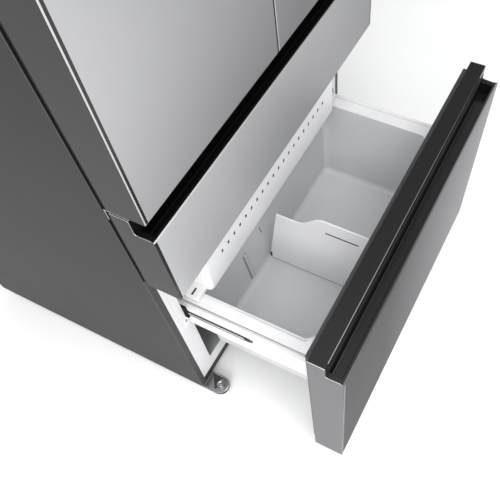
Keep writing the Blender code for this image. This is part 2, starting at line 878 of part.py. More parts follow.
def make_divider():
    """Upright divider whose top edge sweeps down in an S towards the back of the basket."""
    high, low = RIM_TOP - 0.0015, 0.3785
    sweep_start, sweep_end = -0.100, -0.020
    outline = [(-0.226, BASKET_FLOOR + 0.002), (0.082, BASKET_FLOOR + 0.002)]
    outline += [(0.080, 0.175), (0.042, low)]
    steps = 10
    for step in range(steps + 1):
        share = 1 - step / steps
        depth = sweep_start + (sweep_end - sweep_start) * share
        height = high + (low - high) * (1 - math.cos(math.pi * share)) / 2
        outline.append((depth, height))
    outline.append((-0.226, high))
    made = section_bar(
        "basket_divider",
        outline,
        DIVIDER_X - DIVIDER_THICK / 2,
        DIVIDER_X + DIVIDER_THICK / 2,
        WHITE_LINER,
    )
    cut_box(
        made,
        (DIVIDER_X - THROUGH, at(DIVIDER_SLOT_DEPTH[0]), DIVIDER_SLOT_Z[0]),
        (DIVIDER_X + THROUGH, at(DIVIDER_SLOT_DEPTH[1]), DIVIDER_SLOT_Z[1]),
    )
    pivot("divider_origin", (DIVIDER_X, at(-0.226), BASKET_FLOOR), made)
    return made


def make_tray():
    """Sliding tray on the basket's rims, with a row of upright vents in its front wall."""
    low = (-TRAY_HALF, at(TRAY_FRONT), TRAY_BOTTOM)
    high = (TRAY_HALF, at(TRAY_REAR), TRAY_TOP)
    made = block("sliding_tray", low, high, WHITE_LINER)
    for _, side in SIDES:
        low_x, high_x = ordered(side * (TRAY_HALF - 0.001), side * 0.371)
        for depth in (0.060, 0.320):
            join_box(made, (low_x, at(depth), TRAY_BOTTOM), (high_x, at(depth + 0.040), 0.450))
    cut_box(
        made,
        tuple(value + MOLDED for value in low),
        (high[0] - MOLDED, high[1] - MOLDED, high[2] + THROUGH),
    )
    work = bmesh.new()
    for count in range(VENT_COUNT):
        x = (count - (VENT_COUNT - 1) / 2) * VENT_PITCH
        add_box(
            work,
            (x - VENT_HALF, at(TRAY_FRONT) - THROUGH, VENT_Z[0]),
            (x + VENT_HALF, at(TRAY_FRONT) + THROUGH, VENT_Z[1]),
        )
    boolean(made, object_from("tray_vents", work, None, CUTTERS), "DIFFERENCE")
    pivot("tray_origin", (0, at(TRAY_FRONT), TRAY_BOTTOM), made)
    return made


def make_lower_drawer():
    pieces = make_drawer_front("lower_drawer", LOWER_BOTTOM, LOWER_LIP, DRAWER_OPEN)
    make_divider()
    make_tray()
    pivot(
        "lower_drawer_origin",
        (0, at(0) - DRAWER_OPEN, LOWER_BOTTOM),
        *pieces,
        make_basket(),
        make_basket_frame(),
    )


def make_door(label, side):
    """One French door: steel skin, insulated inner door with bin supports, gasket and two bins."""
    edges = ordered(side * DOOR_GAP / 2, side * HALF)
    skin = block(
        f"{label}_door_skin",
        (edges[0], at(0), DOOR_BOTTOM),
        (edges[1], at(FRONT_DEPTH), DOOR_TOP),
        STAINLESS,
    )
    cut_box(
        skin,
        (edges[0] + SKIN, at(SKIN), DOOR_BOTTOM + SKIN),
        (edges[1] - SKIN, at(FRONT_DEPTH + THROUGH), DOOR_TOP - SKIN),
    )
    margin = SKIN + GAP
    inner = block(
        f"{label}_door_inner",
        (edges[0] + margin, at(margin), DOOR_BOTTOM + margin),
        (edges[1] - margin, at(FRONT_DEPTH), DOOR_TOP - margin),
        WHITE_LINER,
    )
    for near, far in DIKES_X:
        low_x, high_x = ordered(side * near, side * far)
        join_box(
            inner,
            (low_x, at(FRONT_DEPTH - 0.01), DIKE_BOTTOM),
            (high_x, at(DIKE_DEPTH), FRIDGE_CEILING - 0.015),
        )
    for height in (DOOR_BOTTOM, DOOR_TOP):
        for piece in (skin, inner):
            cut_rod(piece, (side * PIVOT_X, at(PIVOT_DEPTH), height), PIN_BORE, 0.060)
    gasket = seal_ring(f"{label}_door_gasket", edges[0], edges[1], DOOR_BOTTOM, DOOR_TOP)
    pieces = [skin, inner, gasket]
    low_x, high_x = ordered(side * DOOR_BIN_X[0], side * DOOR_BIN_X[1])
    for place, bottom in DOOR_BIN_FLOORS:
        low = (low_x, at(FRONT_DEPTH + GAP), bottom)
        high = (high_x, at(DOOR_BIN_REAR), bottom + DOOR_BIN_HEIGHT)
        pieces.append(open_bin(f"{label}_door_bin_{place}", low, high))
    pivot(f"{label}_door_axis", (side * PIVOT_X, at(PIVOT_DEPTH), DOOR_BOTTOM), *pieces)


def make_mullion_flap():
    """Upright sealing bar on the left door's free edge, folding back as the door opens."""
    made = block(
        "mullion_flap",
        (FLAP_PIVOT_X, at(0.0925), 0.955),
        (-0.006, at(0.104), 1.670),
        SEAL_GREY,
    )
    pivot("mullion_flap_axis", (FLAP_PIVOT_X, at(FLAP_PIVOT_DEPTH), 0.955), made)


def main():
    make_cabinet_wrapper()
    make_back_panels()
    make_power_inlet()
    make_base_deck()
    make_liner("fridge_liner", FRIDGE_VOIDS, UPPER_RAIL[1] + GAP, CABINET_TOP - FLANGE - GAP)
    make_liner("chiller_liner", CHILLER_VOIDS, LOWER_RAIL[1] + GAP, UPPER_RAIL[0] - GAP)
    make_liner("freezer_liner", FREEZER_VOIDS, KICK_TOP + GAP, LOWER_RAIL[0] - GAP)
    make_foam_core()
    make_cross_rails()
    make_slides()
    make_fridge_interior()
    make_compressor()
    for label, side in SIDES:
        make_feet(label, side)
        make_roller(label, side)
        make_hinges(label, side)
        make_door(label, side)
    make_mullion_flap()
    make_upper_drawer()
    make_lower_drawer()


main()
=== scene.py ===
# %% [markdown]
# # A French door refrigerator with its freezer drawer pulled out
#
# The measured frame of the refrigerator comes first: it is loaded, and every place in this file is
# read from it. The cells after that make one finish or one piece at a time, each the way a
# sheet-metal or plastics shop would think of it: steel skins are folded, liners are drawn over a
# form with generous corners, and trims are extruded.

# %% Load the frame
import math

import bmesh
import bpy
from mathutils import Euler, Matrix, Vector


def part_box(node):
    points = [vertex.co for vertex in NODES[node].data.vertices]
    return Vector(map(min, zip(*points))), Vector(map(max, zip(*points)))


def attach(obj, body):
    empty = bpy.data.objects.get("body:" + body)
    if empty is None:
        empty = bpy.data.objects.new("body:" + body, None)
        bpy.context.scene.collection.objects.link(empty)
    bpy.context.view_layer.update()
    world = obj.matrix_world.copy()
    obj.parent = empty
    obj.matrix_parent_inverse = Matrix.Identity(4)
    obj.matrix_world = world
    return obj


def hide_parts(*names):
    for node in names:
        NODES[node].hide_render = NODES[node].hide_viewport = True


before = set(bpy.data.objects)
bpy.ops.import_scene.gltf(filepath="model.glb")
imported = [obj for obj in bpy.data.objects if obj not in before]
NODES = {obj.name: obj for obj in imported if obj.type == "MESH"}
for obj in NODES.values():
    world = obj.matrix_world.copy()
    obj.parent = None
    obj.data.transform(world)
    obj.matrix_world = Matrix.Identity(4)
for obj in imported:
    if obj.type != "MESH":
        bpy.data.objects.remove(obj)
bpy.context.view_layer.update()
SIDES = (("left", -1), ("right", 1))

# %% [markdown]
# ## Colours and nodes
#
# Colours are written as the hex codes a paint or plastics card gives, and Blender's shaders want
# linear light, so one function converts them. A second one adds a shader node with its settings and
# its incoming links, which keeps each material below short enough to read as a recipe.


# %% Two helpers for materials
def linear(code):
    """An sRGB hex colour as linear red, green, blue and alpha."""
    channels = [int(code[start : start + 2], 16) / 255 for start in (1, 3, 5)]
    return [c / 12.92 if c <= 0.04045 else ((c + 0.055) / 1.055) ** 2.4 for c in channels] + [1.0]


def add(tree, kind, settings=(), links=()):
    """Adds a shader node. Settings are its properties or sockets, links are sockets and their sources."""
    made = tree.nodes.new("ShaderNode" + kind)
    for key, value in dict(settings).items():
        if isinstance(key, int) or key in made.inputs.keys():
            made.inputs[key].default_value = value
        else:
            setattr(made, key, value)
    for key, source in dict(links).items():
        tree.links.new(source, made.inputs[key])
    return made


print("steel grey in linear light:", [round(c, 3) for c in linear("#b4b4b5")])

# %% [markdown]
# ## One recipe that most finishes share
#
# Nearly every factory finish is one colour that wanders a little, a roughness that wanders with it,
# and a fine relief: brush lines, the pebble of powder paint, the grain of a moulding tool. All three
# come from one noise texture, stretched along the direction in which the surface was worked. Its
# pitch is in metres. Real brush lines are a few tenths of a millimetre apart, too fine to show at
# arm's length, so pitches here are drawn a few times coarser.


# %% The shared recipe
def surface(
    name, colours, roughness, pitch, relief, metallic=0.0, stretch=(1, 1, 1), clear=0.0, edge=1.0,
    gloss=0.5, painted_sweep=None,
):
    """A finish whose colour, roughness and relief follow one noise texture with this pitch in metres.

    Edge scales what a metal reflects at a grazing angle, and gloss what a paint or plastic does.
    A painted_sweep (from X, to X) carries the first colour over into the second across the piece, as a
    painted gradient of reflected light.
    """
    made = bpy.data.materials.new(name)
    made.use_nodes = True
    tree = made.node_tree
    shader = tree.nodes["Principled BSDF"]
    shader.inputs["Metallic"].default_value = metallic
    shader.inputs["Transmission Weight"].default_value = clear
    shader.inputs["Specular Tint"].default_value = (edge, edge, edge, 1)
    shader.inputs["Specular IOR Level"].default_value = gloss
    place = add(tree, "TexCoord")
    scale = [share / pitch for share in stretch]
    turn = add(tree, "Mapping", {"Scale": scale}, {"Vector": place.outputs["Object"]})
    grain = add(tree, "TexNoise", {"Scale": 1.0, "Detail": 2.0}, {"Vector": turn.outputs["Vector"]})
    broad = add(
        tree, "TexNoise", {"Scale": 6.0, "Detail": 1.0}, {"Vector": place.outputs["Object"]}
    )
    both = add(
        tree, "Mix", {"data_type": "FLOAT", 0: 0.5},
        {2: grain.outputs["Fac"], 3: broad.outputs["Fac"]},
    )
    tint = add(
        tree, "Mix", {"data_type": "RGBA", 6: linear(colours[0]), 7: linear(colours[1])},
        {0: both.outputs[0]},
    )
    # Painted reflection: the two colours are blended along X to stand in for a change in reflected light.
    if painted_sweep:
        split = add(tree, "SeparateXYZ", (), {0: place.outputs["Object"]})
        ramp = add(
            tree, "MapRange", {"From Min": painted_sweep[0], "From Max": painted_sweep[1]}, {"Value": split.outputs["X"]}
        )
        blend = add(
            tree, "Mix", {"data_type": "FLOAT", 0: 0.12}, {2: ramp.outputs[0], 3: both.outputs[0]}
        )
        tree.links.new(blend.outputs[0], tint.inputs[0])
    rough = add(
        tree, "MapRange", {"To Min": roughness[0], "To Max": roughness[1]},
        {"Value": both.outputs[0]},
    )
    bump = add(
        tree, "Bump", {"Strength": 0.35, "Distance": relief}, {"Height": grain.outputs["Fac"]}
    )
    tree.links.new(tint.outputs[2], shader.inputs["Base Color"])
    tree.links.new(rough.outputs[0], shader.inputs["Roughness"])
    tree.links.new(bump.outputs[0], shader.inputs["Normal"])
    return made


print("recipe ready")

# %% [markdown]
# ## The finishes
#
# - The fronts are stainless steel with a satin, fingerprint-proof coat: lines run upright, and the
#   coat makes reflections wide and soft. The three fronts are one steel in three painted tones, a
#   painted reflection of what each faces, and each carries a painted gradient from left to right.
# - The cabinet is steel with a dark grey textured paint, and the fronts' ends have a smoother coat,
#   painted darker on the doors and chiller drawer and lighter on the freezer drawer, as painted light.
# - The grips are black ABS with a soft gloss; liners, tray and basket are white polystyrene, drawn
#   thin over a form, so they carry a slow waviness and a gentle sheen. The tray is painted a lighter
#   white and the basket a darker one, as painted light and shade; some greys and blacks below are
#   painted shade, and some bright edges painted highlights.
# - The drawer's side rails are powder-coated steel, and its runners bright-plated.

# %% Metal finishes
MM = 0.001
# Three copies of one satin steel, each in its own tone as a painted reflection of what that front faces, each
# with a painted gradient from left to right.
STAINLESS = surface(
    "door_steel_painted_reflection", ("#b4b4b6", "#767678"), (0.36, 0.48), 1.3 * MM, 0.02 * MM,
    metallic=0.6, stretch=(1, 1, 0.012), edge=0.6, gloss=0.3, painted_sweep=(-0.45, 0.10),
)
UPPER_STAINLESS = surface(
    "chiller_front_painted_reflection", ("#d6d6d8", "#8c8c8e"), (0.38, 0.50), 1.3 * MM, 0.02 * MM,
    metallic=0.6, stretch=(1, 1, 0.012), edge=0.7, gloss=0.4, painted_sweep=(-0.45, 0.45),
)
LOWER_STAINLESS = surface(
    "freezer_front_painted_reflection", ("#5b5b5d", "#c0c0c3"), (0.28, 0.40), 1.3 * MM, 0.02 * MM,
    metallic=1.0, stretch=(1, 1, 0.012), edge=0.42, painted_sweep=(-0.20, 0.45),
)
# One coat for the fronts' ends in two painted tones: darker on the doors and chiller drawer as painted shade,
# lighter on the freezer drawer as painted light.
END_COAT = surface(
    "grey_coated_ends_painted_shade", ("#353536", "#3d3d3e"), (0.36, 0.46), 1.5 * MM, 0.02 * MM,
    metallic=0.2, stretch=(1, 1, 0.05), edge=0.5, gloss=0.25,
)
LIT_END_COAT = surface(
    "grey_coated_ends_painted_light", ("#656567", "#6f6f71"), (0.36, 0.46), 1.5 * MM, 0.02 * MM,
    metallic=0.2, stretch=(1, 1, 0.05), edge=0.5, gloss=0.25,
)
CABINET_PAINT = surface(
    "textured_cabinet_paint", ("#272728", "#2f2f30"), (0.46, 0.58), 1.8 * MM, 0.10 * MM, gloss=0.2
)
RETURN_PAINT = surface(
    "smooth_cabinet_return_paint", ("#3e3e3f", "#474748"), (0.44, 0.56), 1.8 * MM, 0.05 * MM, gloss=0.2
)
# Painted highlight: a bright band round the doors' outer corners and the right door's rounded free corner.
WRAP = surface(
    "steel_edge_painted_highlight", ("#a9a9ab", "#b4b4b6"), (0.36, 0.46), 1.0 * MM, 0.01 * MM,
    metallic=0.3, edge=0.7,
)
# Painted highlight: a bright line that fades to dark across the piece, along the freezer grip's crest.
EDGE_LINE = surface(
    "trim_edge_painted_highlight", ("#8f8f90", "#1e1e1f"), (0.34, 0.44), 1.0 * MM, 0.01 * MM,
    metallic=0.2, edge=0.5, gloss=0.3, painted_sweep=(-0.45, 0.40),
)
# Painted highlight: a bright coat on the drawer ends' sheet edges and on the foot cups' rims.
HIGHLIGHT_EDGE = surface(
    "bright_edge_painted_highlight", ("#d8d8d8", "#e6e6e6"), (0.30, 0.40), 1.0 * MM, 0.01 * MM, metallic=0.6
)
ZINC = surface(
    "zinc_plated_steel", ("#8f9092", "#b3b4b6"), (0.26, 0.42), 4.0 * MM, 0.05 * MM, metallic=1.0
)
# Painted shade: a dark zinc for the shaded floor of the foot cups.
SHADED_ZINC = surface(
    "zinc_painted_shade", ("#3c3c3d", "#4a4a4b"), (0.40, 0.55), 3.0 * MM, 0.05 * MM,
    metallic=0.4, edge=0.5,
)
RUNNER = surface(
    "bright_plated_runner", ("#c6c7c9", "#dcdde0"), (0.14, 0.24), 1.2 * MM, 0.02 * MM,
    metallic=1.0, stretch=(1, 0.01, 1),
)
WHITE_COAT = surface(
    "white_powder_coat", ("#d8d8d8", "#e2e2e2"), (0.34, 0.46), 2.2 * MM, 0.06 * MM
)
# Black enamel, also used as painted shade in the dark backing round the drawer slides' runners.
BLACK_ENAMEL = surface(
    "black_enamel_and_painted_shade", ("#121213", "#1b1b1c"), (0.28, 0.40), 3.0 * MM, 0.08 * MM
)
print("metal finishes made")

# %% Plastic, rubber and foam finishes
BLACK_ABS = surface(
    "black_moulded_abs_and_painted_shade", ("#0b0b0c", "#141415"), (0.22, 0.34), 1.4 * MM, 0.03 * MM
)
# Painted reflection: lighter at the left and darker at the right, on the freezer grip's crest and end blocks
# and on the mullion.
SATIN_ABS = surface(
    "satin_black_abs_painted_reflection", ("#1a1a1b", "#050505"), (0.36, 0.48), 1.6 * MM, 0.03 * MM,
    gloss=0.28, painted_sweep=(-0.45, 0.45),
)
# A deeper, duller black: painted shade on the chiller grip, the cabinet's front edge and the strip in the gap
# between the doors; the slide housings keep it as their own black.
DEEP_ABS = surface(
    "matt_black_abs_and_painted_shade", ("#030303", "#060606"), (0.55, 0.70), 1.4 * MM, 0.03 * MM, gloss=0.15
)
WHITE_LINER = surface(
    "white_formed_polystyrene", ("#d6d6d7", "#e1e1e2"), (0.30, 0.42), 9.0 * MM, 0.12 * MM
)
# Painted light: a lighter copy of the white plastic for the lit tray and divider.
LIT_WHITE = surface(
    "white_plastic_painted_light", ("#ececed", "#f3f3f4"), (0.34, 0.46), 6.0 * MM, 0.08 * MM
)
# Painted shade: a darker copy of the white plastic for the shaded inside of the basket.
SHADED_WHITE = surface(
    "white_plastic_painted_shade", ("#c3c4c5", "#cecfd0"), (0.36, 0.48), 9.0 * MM, 0.12 * MM
)
# Painted shade: a grey for the shaded inside of the freezer liner, beside the basket's rib and on the slides'
# clips.
SHADE_GREY = surface(
    "grey_painted_shade", ("#8b8c8d", "#979899"), (0.40, 0.52), 9.0 * MM, 0.12 * MM
)
# Painted shade: a grey for the cut edges of the tray's vents.
GROOVE_GREY = surface(
    "shaded_moulding_groove", ("#717273", "#7c7d7e"), (0.55, 0.70), 4.0 * MM, 0.05 * MM
)
# The seals' dark grey, also used as painted shade in the slots of the tray brackets, the divider and the duct
# panel.
SEAL = surface("grey_seal_vinyl_and_painted_shade", ("#2c2c2e", "#3a3a3c"), (0.55, 0.70), 2.0 * MM, 0.06 * MM)
TYRE = surface("black_nylon_roller", ("#161617", "#232324"), (0.45, 0.60), 1.5 * MM, 0.05 * MM)
CLEAR = surface(
    "clear_moulded_bin", ("#e8eef0", "#f4f8f9"), (0.05, 0.12), 12.0 * MM, 0.06 * MM, clear=0.8
)
GLASS = surface(
    "tempered_shelf_glass", ("#d8ece4", "#e6f4ee"), (0.02, 0.05), 30.0 * MM, 0.02 * MM, clear=0.9
)
DIFFUSER = surface(
    "milky_lamp_diffuser", ("#e6e8ea", "#f3f4f5"), (0.25, 0.35), 3.0 * MM, 0.10 * MM, clear=0.3
)
print("plastic finishes made")

# %% [markdown]
# ## Two finishes that need their own pattern
#
# Hot-dip zinc sheet, the skin of the cabinet's back, sets in large crystals called spangle, and a
# Voronoi texture draws exactly that kind of cell. The same texture, much smaller and used as relief,
# is the cut skin of rigid foam.


# %% Spangled back sheet and foam
def celled(name, colours, roughness, cell, relief, metallic):
    made = surface(name, colours, roughness, cell, relief, metallic)
    tree = made.node_tree
    place = tree.nodes["Texture Coordinate"]
    cells = add(
        tree, "TexVoronoi", {"Scale": 1 / cell}, {"Vector": place.outputs["Object"]}
    )
    tint = add(
        tree, "Mix", {"data_type": "RGBA", 6: linear(colours[0]), 7: linear(colours[1])},
        {0: cells.outputs["Color"]},
    )
    tree.links.new(tint.outputs[2], tree.nodes["Principled BSDF"].inputs["Base Color"])
    tree.links.new(cells.outputs["Distance"], tree.nodes["Bump"].inputs["Height"])
    return made


SPANGLE = celled(
    "spangled_zinc_sheet", ("#8b8e91", "#a6a9ac"), (0.38, 0.52), 14.0 * MM, 0.03 * MM, 0.8
)
FOAM = celled("rigid_polyurethane_foam", ("#cbb98a", "#ddcda2"), (0.8, 0.95), 3.0 * MM, 0.6 * MM, 0.0)
print("patterned finishes made")

# %% [markdown]
# ## Shaping helpers
#
# A bmesh starts as a cube at the place that the frame gives, and bevels make its folds and
# mouldings. Bevel's defaults differ from the editor's, so one helper states them all. Faces are
# found by the way they face, which reads better than index numbers.


# %% Boxes, folds and faces
def box_in(work, low, high):
    """Adds a box to the bmesh and returns its vertices."""
    made = bmesh.ops.create_cube(work, size=1.0)["verts"]
    low, high = Vector(low), Vector(high)
    bmesh.ops.scale(work, vec=high - low, verts=made)
    bmesh.ops.translate(work, vec=(low + high) / 2, verts=made)
    work.normal_update()
    return made


def rounded(work, edges, radius, segments=3):
    """Bevels edges to this radius."""
    bmesh.ops.bevel(
        work, geom=list(edges), offset=radius, offset_type="OFFSET", affect="EDGES",
        segments=segments, profile=0.5, material=-1, clamp_overlap=True,
    )
    work.normal_update()


def facing(work, direction, share=0.99):
    """The faces whose normal points this way."""
    way = Vector(direction)
    return [face for face in work.faces if face.normal.dot(way) > share]


def along(work, axis):
    """The straight edges that run along X, Y or Z."""
    number = "XYZ".index(axis)
    found = []
    for edge in work.edges:
        run = (edge.verts[0].co - edge.verts[1].co).normalized()
        if abs(run[number]) > 0.999:
            found.append(edge)
    return found


def near(edge, number, value, slack=0.0002):
    """Whether both ends of the edge have this coordinate."""
    return all(abs(vert.co[number] - value) < slack for vert in edge.verts)


def bent(work, angle):
    """The edges between two faces that turn by more than this angle."""
    return [edge for edge in work.edges if len(edge.link_faces) == 2 and edge.calc_face_angle() > angle]


def edges_of(verts):
    """Every edge that ends at one of these vertices."""
    return {edge for vert in verts for edge in vert.link_edges}


def verts_in(items):
    """The vertices among what an extrusion returns."""
    return [item for item in items if isinstance(item, bmesh.types.BMVert)]


def soft_box(work, low, high, radius, segments=2):
    """Adds a box with all its edges rounded."""
    rounded(work, edges_of(box_in(work, low, high)), radius, segments)


def drop(work, faces):
    bmesh.ops.delete(work, geom=list(faces), context="FACES")


def cut_faces(work, faces, point, normal):
    """Cuts these faces along a plane."""
    edges = {edge for face in faces for edge in face.edges}
    verts = {vert for face in faces for vert in face.verts}
    bmesh.ops.bisect_plane(
        work, geom=[*verts, *edges, *faces], dist=0.00001, plane_co=point, plane_no=normal
    )


def extruded(outline, low_x, high_x):
    """A bar along X with this outline of (y, z) points at its end."""
    work = bmesh.new()
    end = work.faces.new([work.verts.new((low_x, y, z)) for y, z in outline])
    grown = bmesh.ops.extrude_face_region(work, geom=[end])["geom"]
    bmesh.ops.translate(work, vec=(high_x - low_x, 0, 0), verts=verts_in(grown))
    bmesh.ops.recalc_face_normals(work, faces=work.faces)
    work.normal_update()
    return work


print("shaping helpers ready")

# %% [markdown]
# ## From a bmesh to a finished piece
#
# A piece rides on the body of the frame that carries it, and often stands for one of the frame's
# plain solids. Thin walls get their thickness from a Solidify step that is settled into the mesh at
# once, so that sharp edges can then be marked by angle. Weighted normals keep big flat faces flat
# beside small rounded edges.


# %% Finishing helpers
def settle(obj):
    """Applies the object's modifiers to its mesh."""
    graph = bpy.context.evaluated_depsgraph_get()
    graph.update()
    mesh = bpy.data.meshes.new_from_object(obj.evaluated_get(graph))
    obj.modifiers.clear()
    obj.data = mesh


def piece(name, work, finishes, body, stands_for=(), wall=0.0, rim=0):
    """Turns the bmesh into a piece. A wall is grown behind the surface, its rim in finish number rim."""
    mesh = bpy.data.meshes.new(name)
    work.to_mesh(mesh)
    work.free()
    made = bpy.data.objects.new(name, mesh)
    bpy.context.scene.collection.objects.link(made)
    for finish in finishes if isinstance(finishes, tuple) else (finishes,):
        mesh.materials.append(finish)
    if wall:
        shell = made.modifiers.new("wall", "SOLIDIFY")
        shell.thickness = wall
        shell.offset = -1.0
        shell.use_even_offset = True
        shell.material_offset_rim = rim
        settle(made)
    made.data.shade_smooth()
    made.data.set_sharp_from_angle(angle=math.radians(32))
    made.modifiers.new("even shading", "WEIGHTED_NORMAL").keep_sharp = True
    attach(made, body)
    if stands_for:
        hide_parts(*stands_for)
    return made


def copy_of(node):
    """The frame's solid as a merged bmesh with its flat faces whole."""
    work = bmesh.new()
    work.from_mesh(NODES[node].data)
    bmesh.ops.remove_doubles(work, verts=work.verts, dist=0.00002)
    bmesh.ops.dissolve_limit(
        work, angle_limit=math.radians(1), verts=work.verts, edges=work.edges
    )
    work.normal_update()
    return work


def softened(node, radius, finish, body, segments=2):
    """The frame's solid again, with its sharp edges rounded."""
    work = copy_of(node)
    rounded(work, bent(work, math.radians(30)), radius, segments)
    return piece(node + "_finished", work, finish, body, (node,))


print("finishing helpers ready")

# %% [markdown]
# ## Steel skins of the doors and drawer fronts
#
# Each front is folded from one sheet: the face, the ends and the lower edge. On a door, a narrow
# band round the outer corner carries a painted highlight and a black seam runs beside it. On a
# drawer front the black goes right to the corner. The seam is a strip between two cuts, pushed in
# by its own depth. The doors' free edges and a black strip on the left door are painted shade for
# the gap between the doors, and the right door's rounded free corner carries the painted highlight.

# %% Measures of the fronts
UPPER_LOW, UPPER_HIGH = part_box("upper_drawer_front")
FACE_Y = UPPER_LOW.y
OPEN = FACE_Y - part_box("lower_drawer_front")[0].y
FRONT_DEPTH = UPPER_HIGH.y - UPPER_LOW.y
SHEET = 0.0014
CORNER = 0.0022
DOOR_SEAM = (0.0026, 0.0080)
DRAWER_SEAM = (0.0010, 0.0072)
SEAM_SINK = 0.0024
CREST_RISE = 0.039
GROOVE_BACK = 0.041
STEEL_LIP = {"upper_drawer": 0.0024, "lower_drawer": 0.0038}
print("front depth", round(FRONT_DEPTH, 4), "drawer open by", round(OPEN, 4))


# %% Seams and the two kinds of front
def seamed(work, face_y, cuts, centre):
    """Cuts the face at each pair of X places, sinks the strip between them and colours what lies outside."""
    for pair in cuts:
        for x in pair:
            ahead = facing(work, (0, -1, 0))
            skin = [face for face in ahead if face.calc_center_median().y < face_y + 0.001]
            cut_faces(work, skin, (x, 0, 0), (1, 0, 0))
    work.normal_update()
    for face in work.faces:
        middle = face.calc_center_median()
        outside = [min(pair, key=abs) for pair in cuts]
        if abs(face.normal.x) > 0.95:
            face.material_index = 1
        elif any((middle.x - x) * (1 if x > centre else -1) > 0 for x in outside):
            face.material_index = 3
    strips = []
    for face in facing(work, (0, -1, 0)):
        x = face.calc_center_median().x
        if any(min(pair) < x < max(pair) for pair in cuts):
            strips.append(face)
    grown = bmesh.ops.extrude_face_region(work, geom=strips)["geom"]
    moved = verts_in(grown)
    bmesh.ops.translate(work, vec=(0, SEAM_SINK, 0), verts=moved)
    work.normal_update()
    for face in work.faces:
        x = face.calc_center_median().x
        if any(min(pair) - 0.00005 < x < max(pair) + 0.00005 for pair in cuts):
            if abs(face.normal.z) < 0.5:
                face.material_index = 2


def steel_door(side, sign):
    low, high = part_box(f"{side}_door_skin")
    work = bmesh.new()
    box_in(work, low, high)
    drop(work, facing(work, (0, 1, 0)))
    front = [edge for edge in work.edges if near(edge, 1, low.y)]
    rounded(work, front, CORNER, 3)
    outer, free = (low.x, high.x) if sign < 0 else (high.x, low.x)
    seamed(work, low.y, [tuple(outer - sign * share for share in DOOR_SEAM)], (low.x + high.x) / 2)
    # Painted shade and highlight at the gap between the doors: the free edges are painted black, and the
    # right door's rounded free corner bright.
    for face in work.faces:
        if abs(face.calc_center_median().x - free) < CORNER and abs(face.normal.x) > 0.2:
            face.material_index = 2 if sign < 0 or abs(face.normal.x) > 0.95 else 3
    finishes = (STAINLESS, END_COAT, BLACK_ABS, WRAP)
    return piece(
        f"{side}_door_steel", work, finishes, f"{side}_door", (f"{side}_door_skin",), SHEET
    )


def gap_shade_strip():
    """A black strip down the left door's free edge, painted shade for the gap between the doors."""
    low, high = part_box("left_door_skin")
    work = bmesh.new()
    box_in(
        work, (high.x - 0.0026, low.y - 0.0003, low.z + 0.001),
        (high.x + 0.0006, low.y + 0.006, high.z - 0.001),
    )
    rounded(work, along(work, "Z"), 0.0006, 2)
    return piece("door_gap_shade_strip", work, DEEP_ABS, "left_door")


for side, sign in SIDES:
    made = steel_door(side, sign)
    print(made.name, len(made.data.polygons), "faces")
print(gap_shade_strip().name)


# %% [markdown]
# ## Drawer fronts
#
# From the end, a drawer front is a block with a step: a low front lip that fingers reach behind and
# a high crest at the back. The end's outline is drawn once, extruded across the width, and its step
# is rounded both ways. What the black trim covers is then cut away: groove, riser and crest.


# %% Steel of the drawer fronts
def drawer_steel(prefix, face_finish, end_finish):
    low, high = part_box(f"{prefix}_front")
    lip = high.z - CREST_RISE
    outline = (
        (0, low.z), (0, lip), (STEEL_LIP[prefix], lip), (GROOVE_BACK, lip),
        (GROOVE_BACK, high.z), (FRONT_DEPTH, high.z), (FRONT_DEPTH, low.z),
    )
    work = extruded([(low.y + depth, height) for depth, height in outline], low.x, high.x)
    step_y = low.y + GROOVE_BACK
    inner = [e for e in along(work, "X") if near(e, 1, step_y) and near(e, 2, lip)]
    rounded(work, inner, 0.006, 4)
    outer = [e for e in along(work, "X") if near(e, 1, step_y) and near(e, 2, high.z)]
    rounded(work, outer, 0.003, 4)
    covered = []
    for face in work.faces:
        middle = face.calc_center_median()
        is_back = middle.y > high.y - 0.0001
        is_top = middle.z > lip - 0.0001 and middle.y > low.y + STEEL_LIP[prefix]
        if abs(face.normal.x) < 0.5 and (is_back or is_top):
            covered.append(face)
    drop(work, covered)
    rounded(work, [e for e in work.edges if near(e, 1, low.y)], 0.0014, 3)
    start, end = DRAWER_SEAM
    seamed(work, low.y, [(low.x + start, low.x + end), (high.x - start, high.x - end)], 0.0)
    for face in work.faces:
        if face.material_index == 3:
            face.material_index = 2
    # The ends' sheet edges take the painted highlight.
    finishes = (face_finish, end_finish, BLACK_ABS, HIGHLIGHT_EDGE)
    return piece(
        f"{prefix}_steel", work, finishes, prefix, (f"{prefix}_front",), SHEET, 2
    )


# The chiller front takes the darker painted end coat, the freezer front the lighter one.
for prefix, face_finish, end_finish in (
    ("upper_drawer", UPPER_STAINLESS, END_COAT), ("lower_drawer", LOWER_STAINLESS, LIT_END_COAT),
):
    made = drawer_steel(prefix, face_finish, end_finish)
    print(made.name, len(made.data.polygons), "faces")

# %% [markdown]
# ## Grip trims
#
# A grip trim is one black moulding as long as the drawer is wide. From its crest it falls into a
# deep groove and rises again to the lip, and end blocks close the groove at lip height. The
# freezer's trim has a satin crest painted lighter at the left and darker at the right as painted
# reflection, a painted highlight along the crest's front edge, and two small beads along the riser,
# which is where the streaks of light in its groove come from. The chiller's trim is painted a
# deeper black as painted shade.

# %% Grip trims
BEAD = 0.0016
END_BLOCK = 0.0135


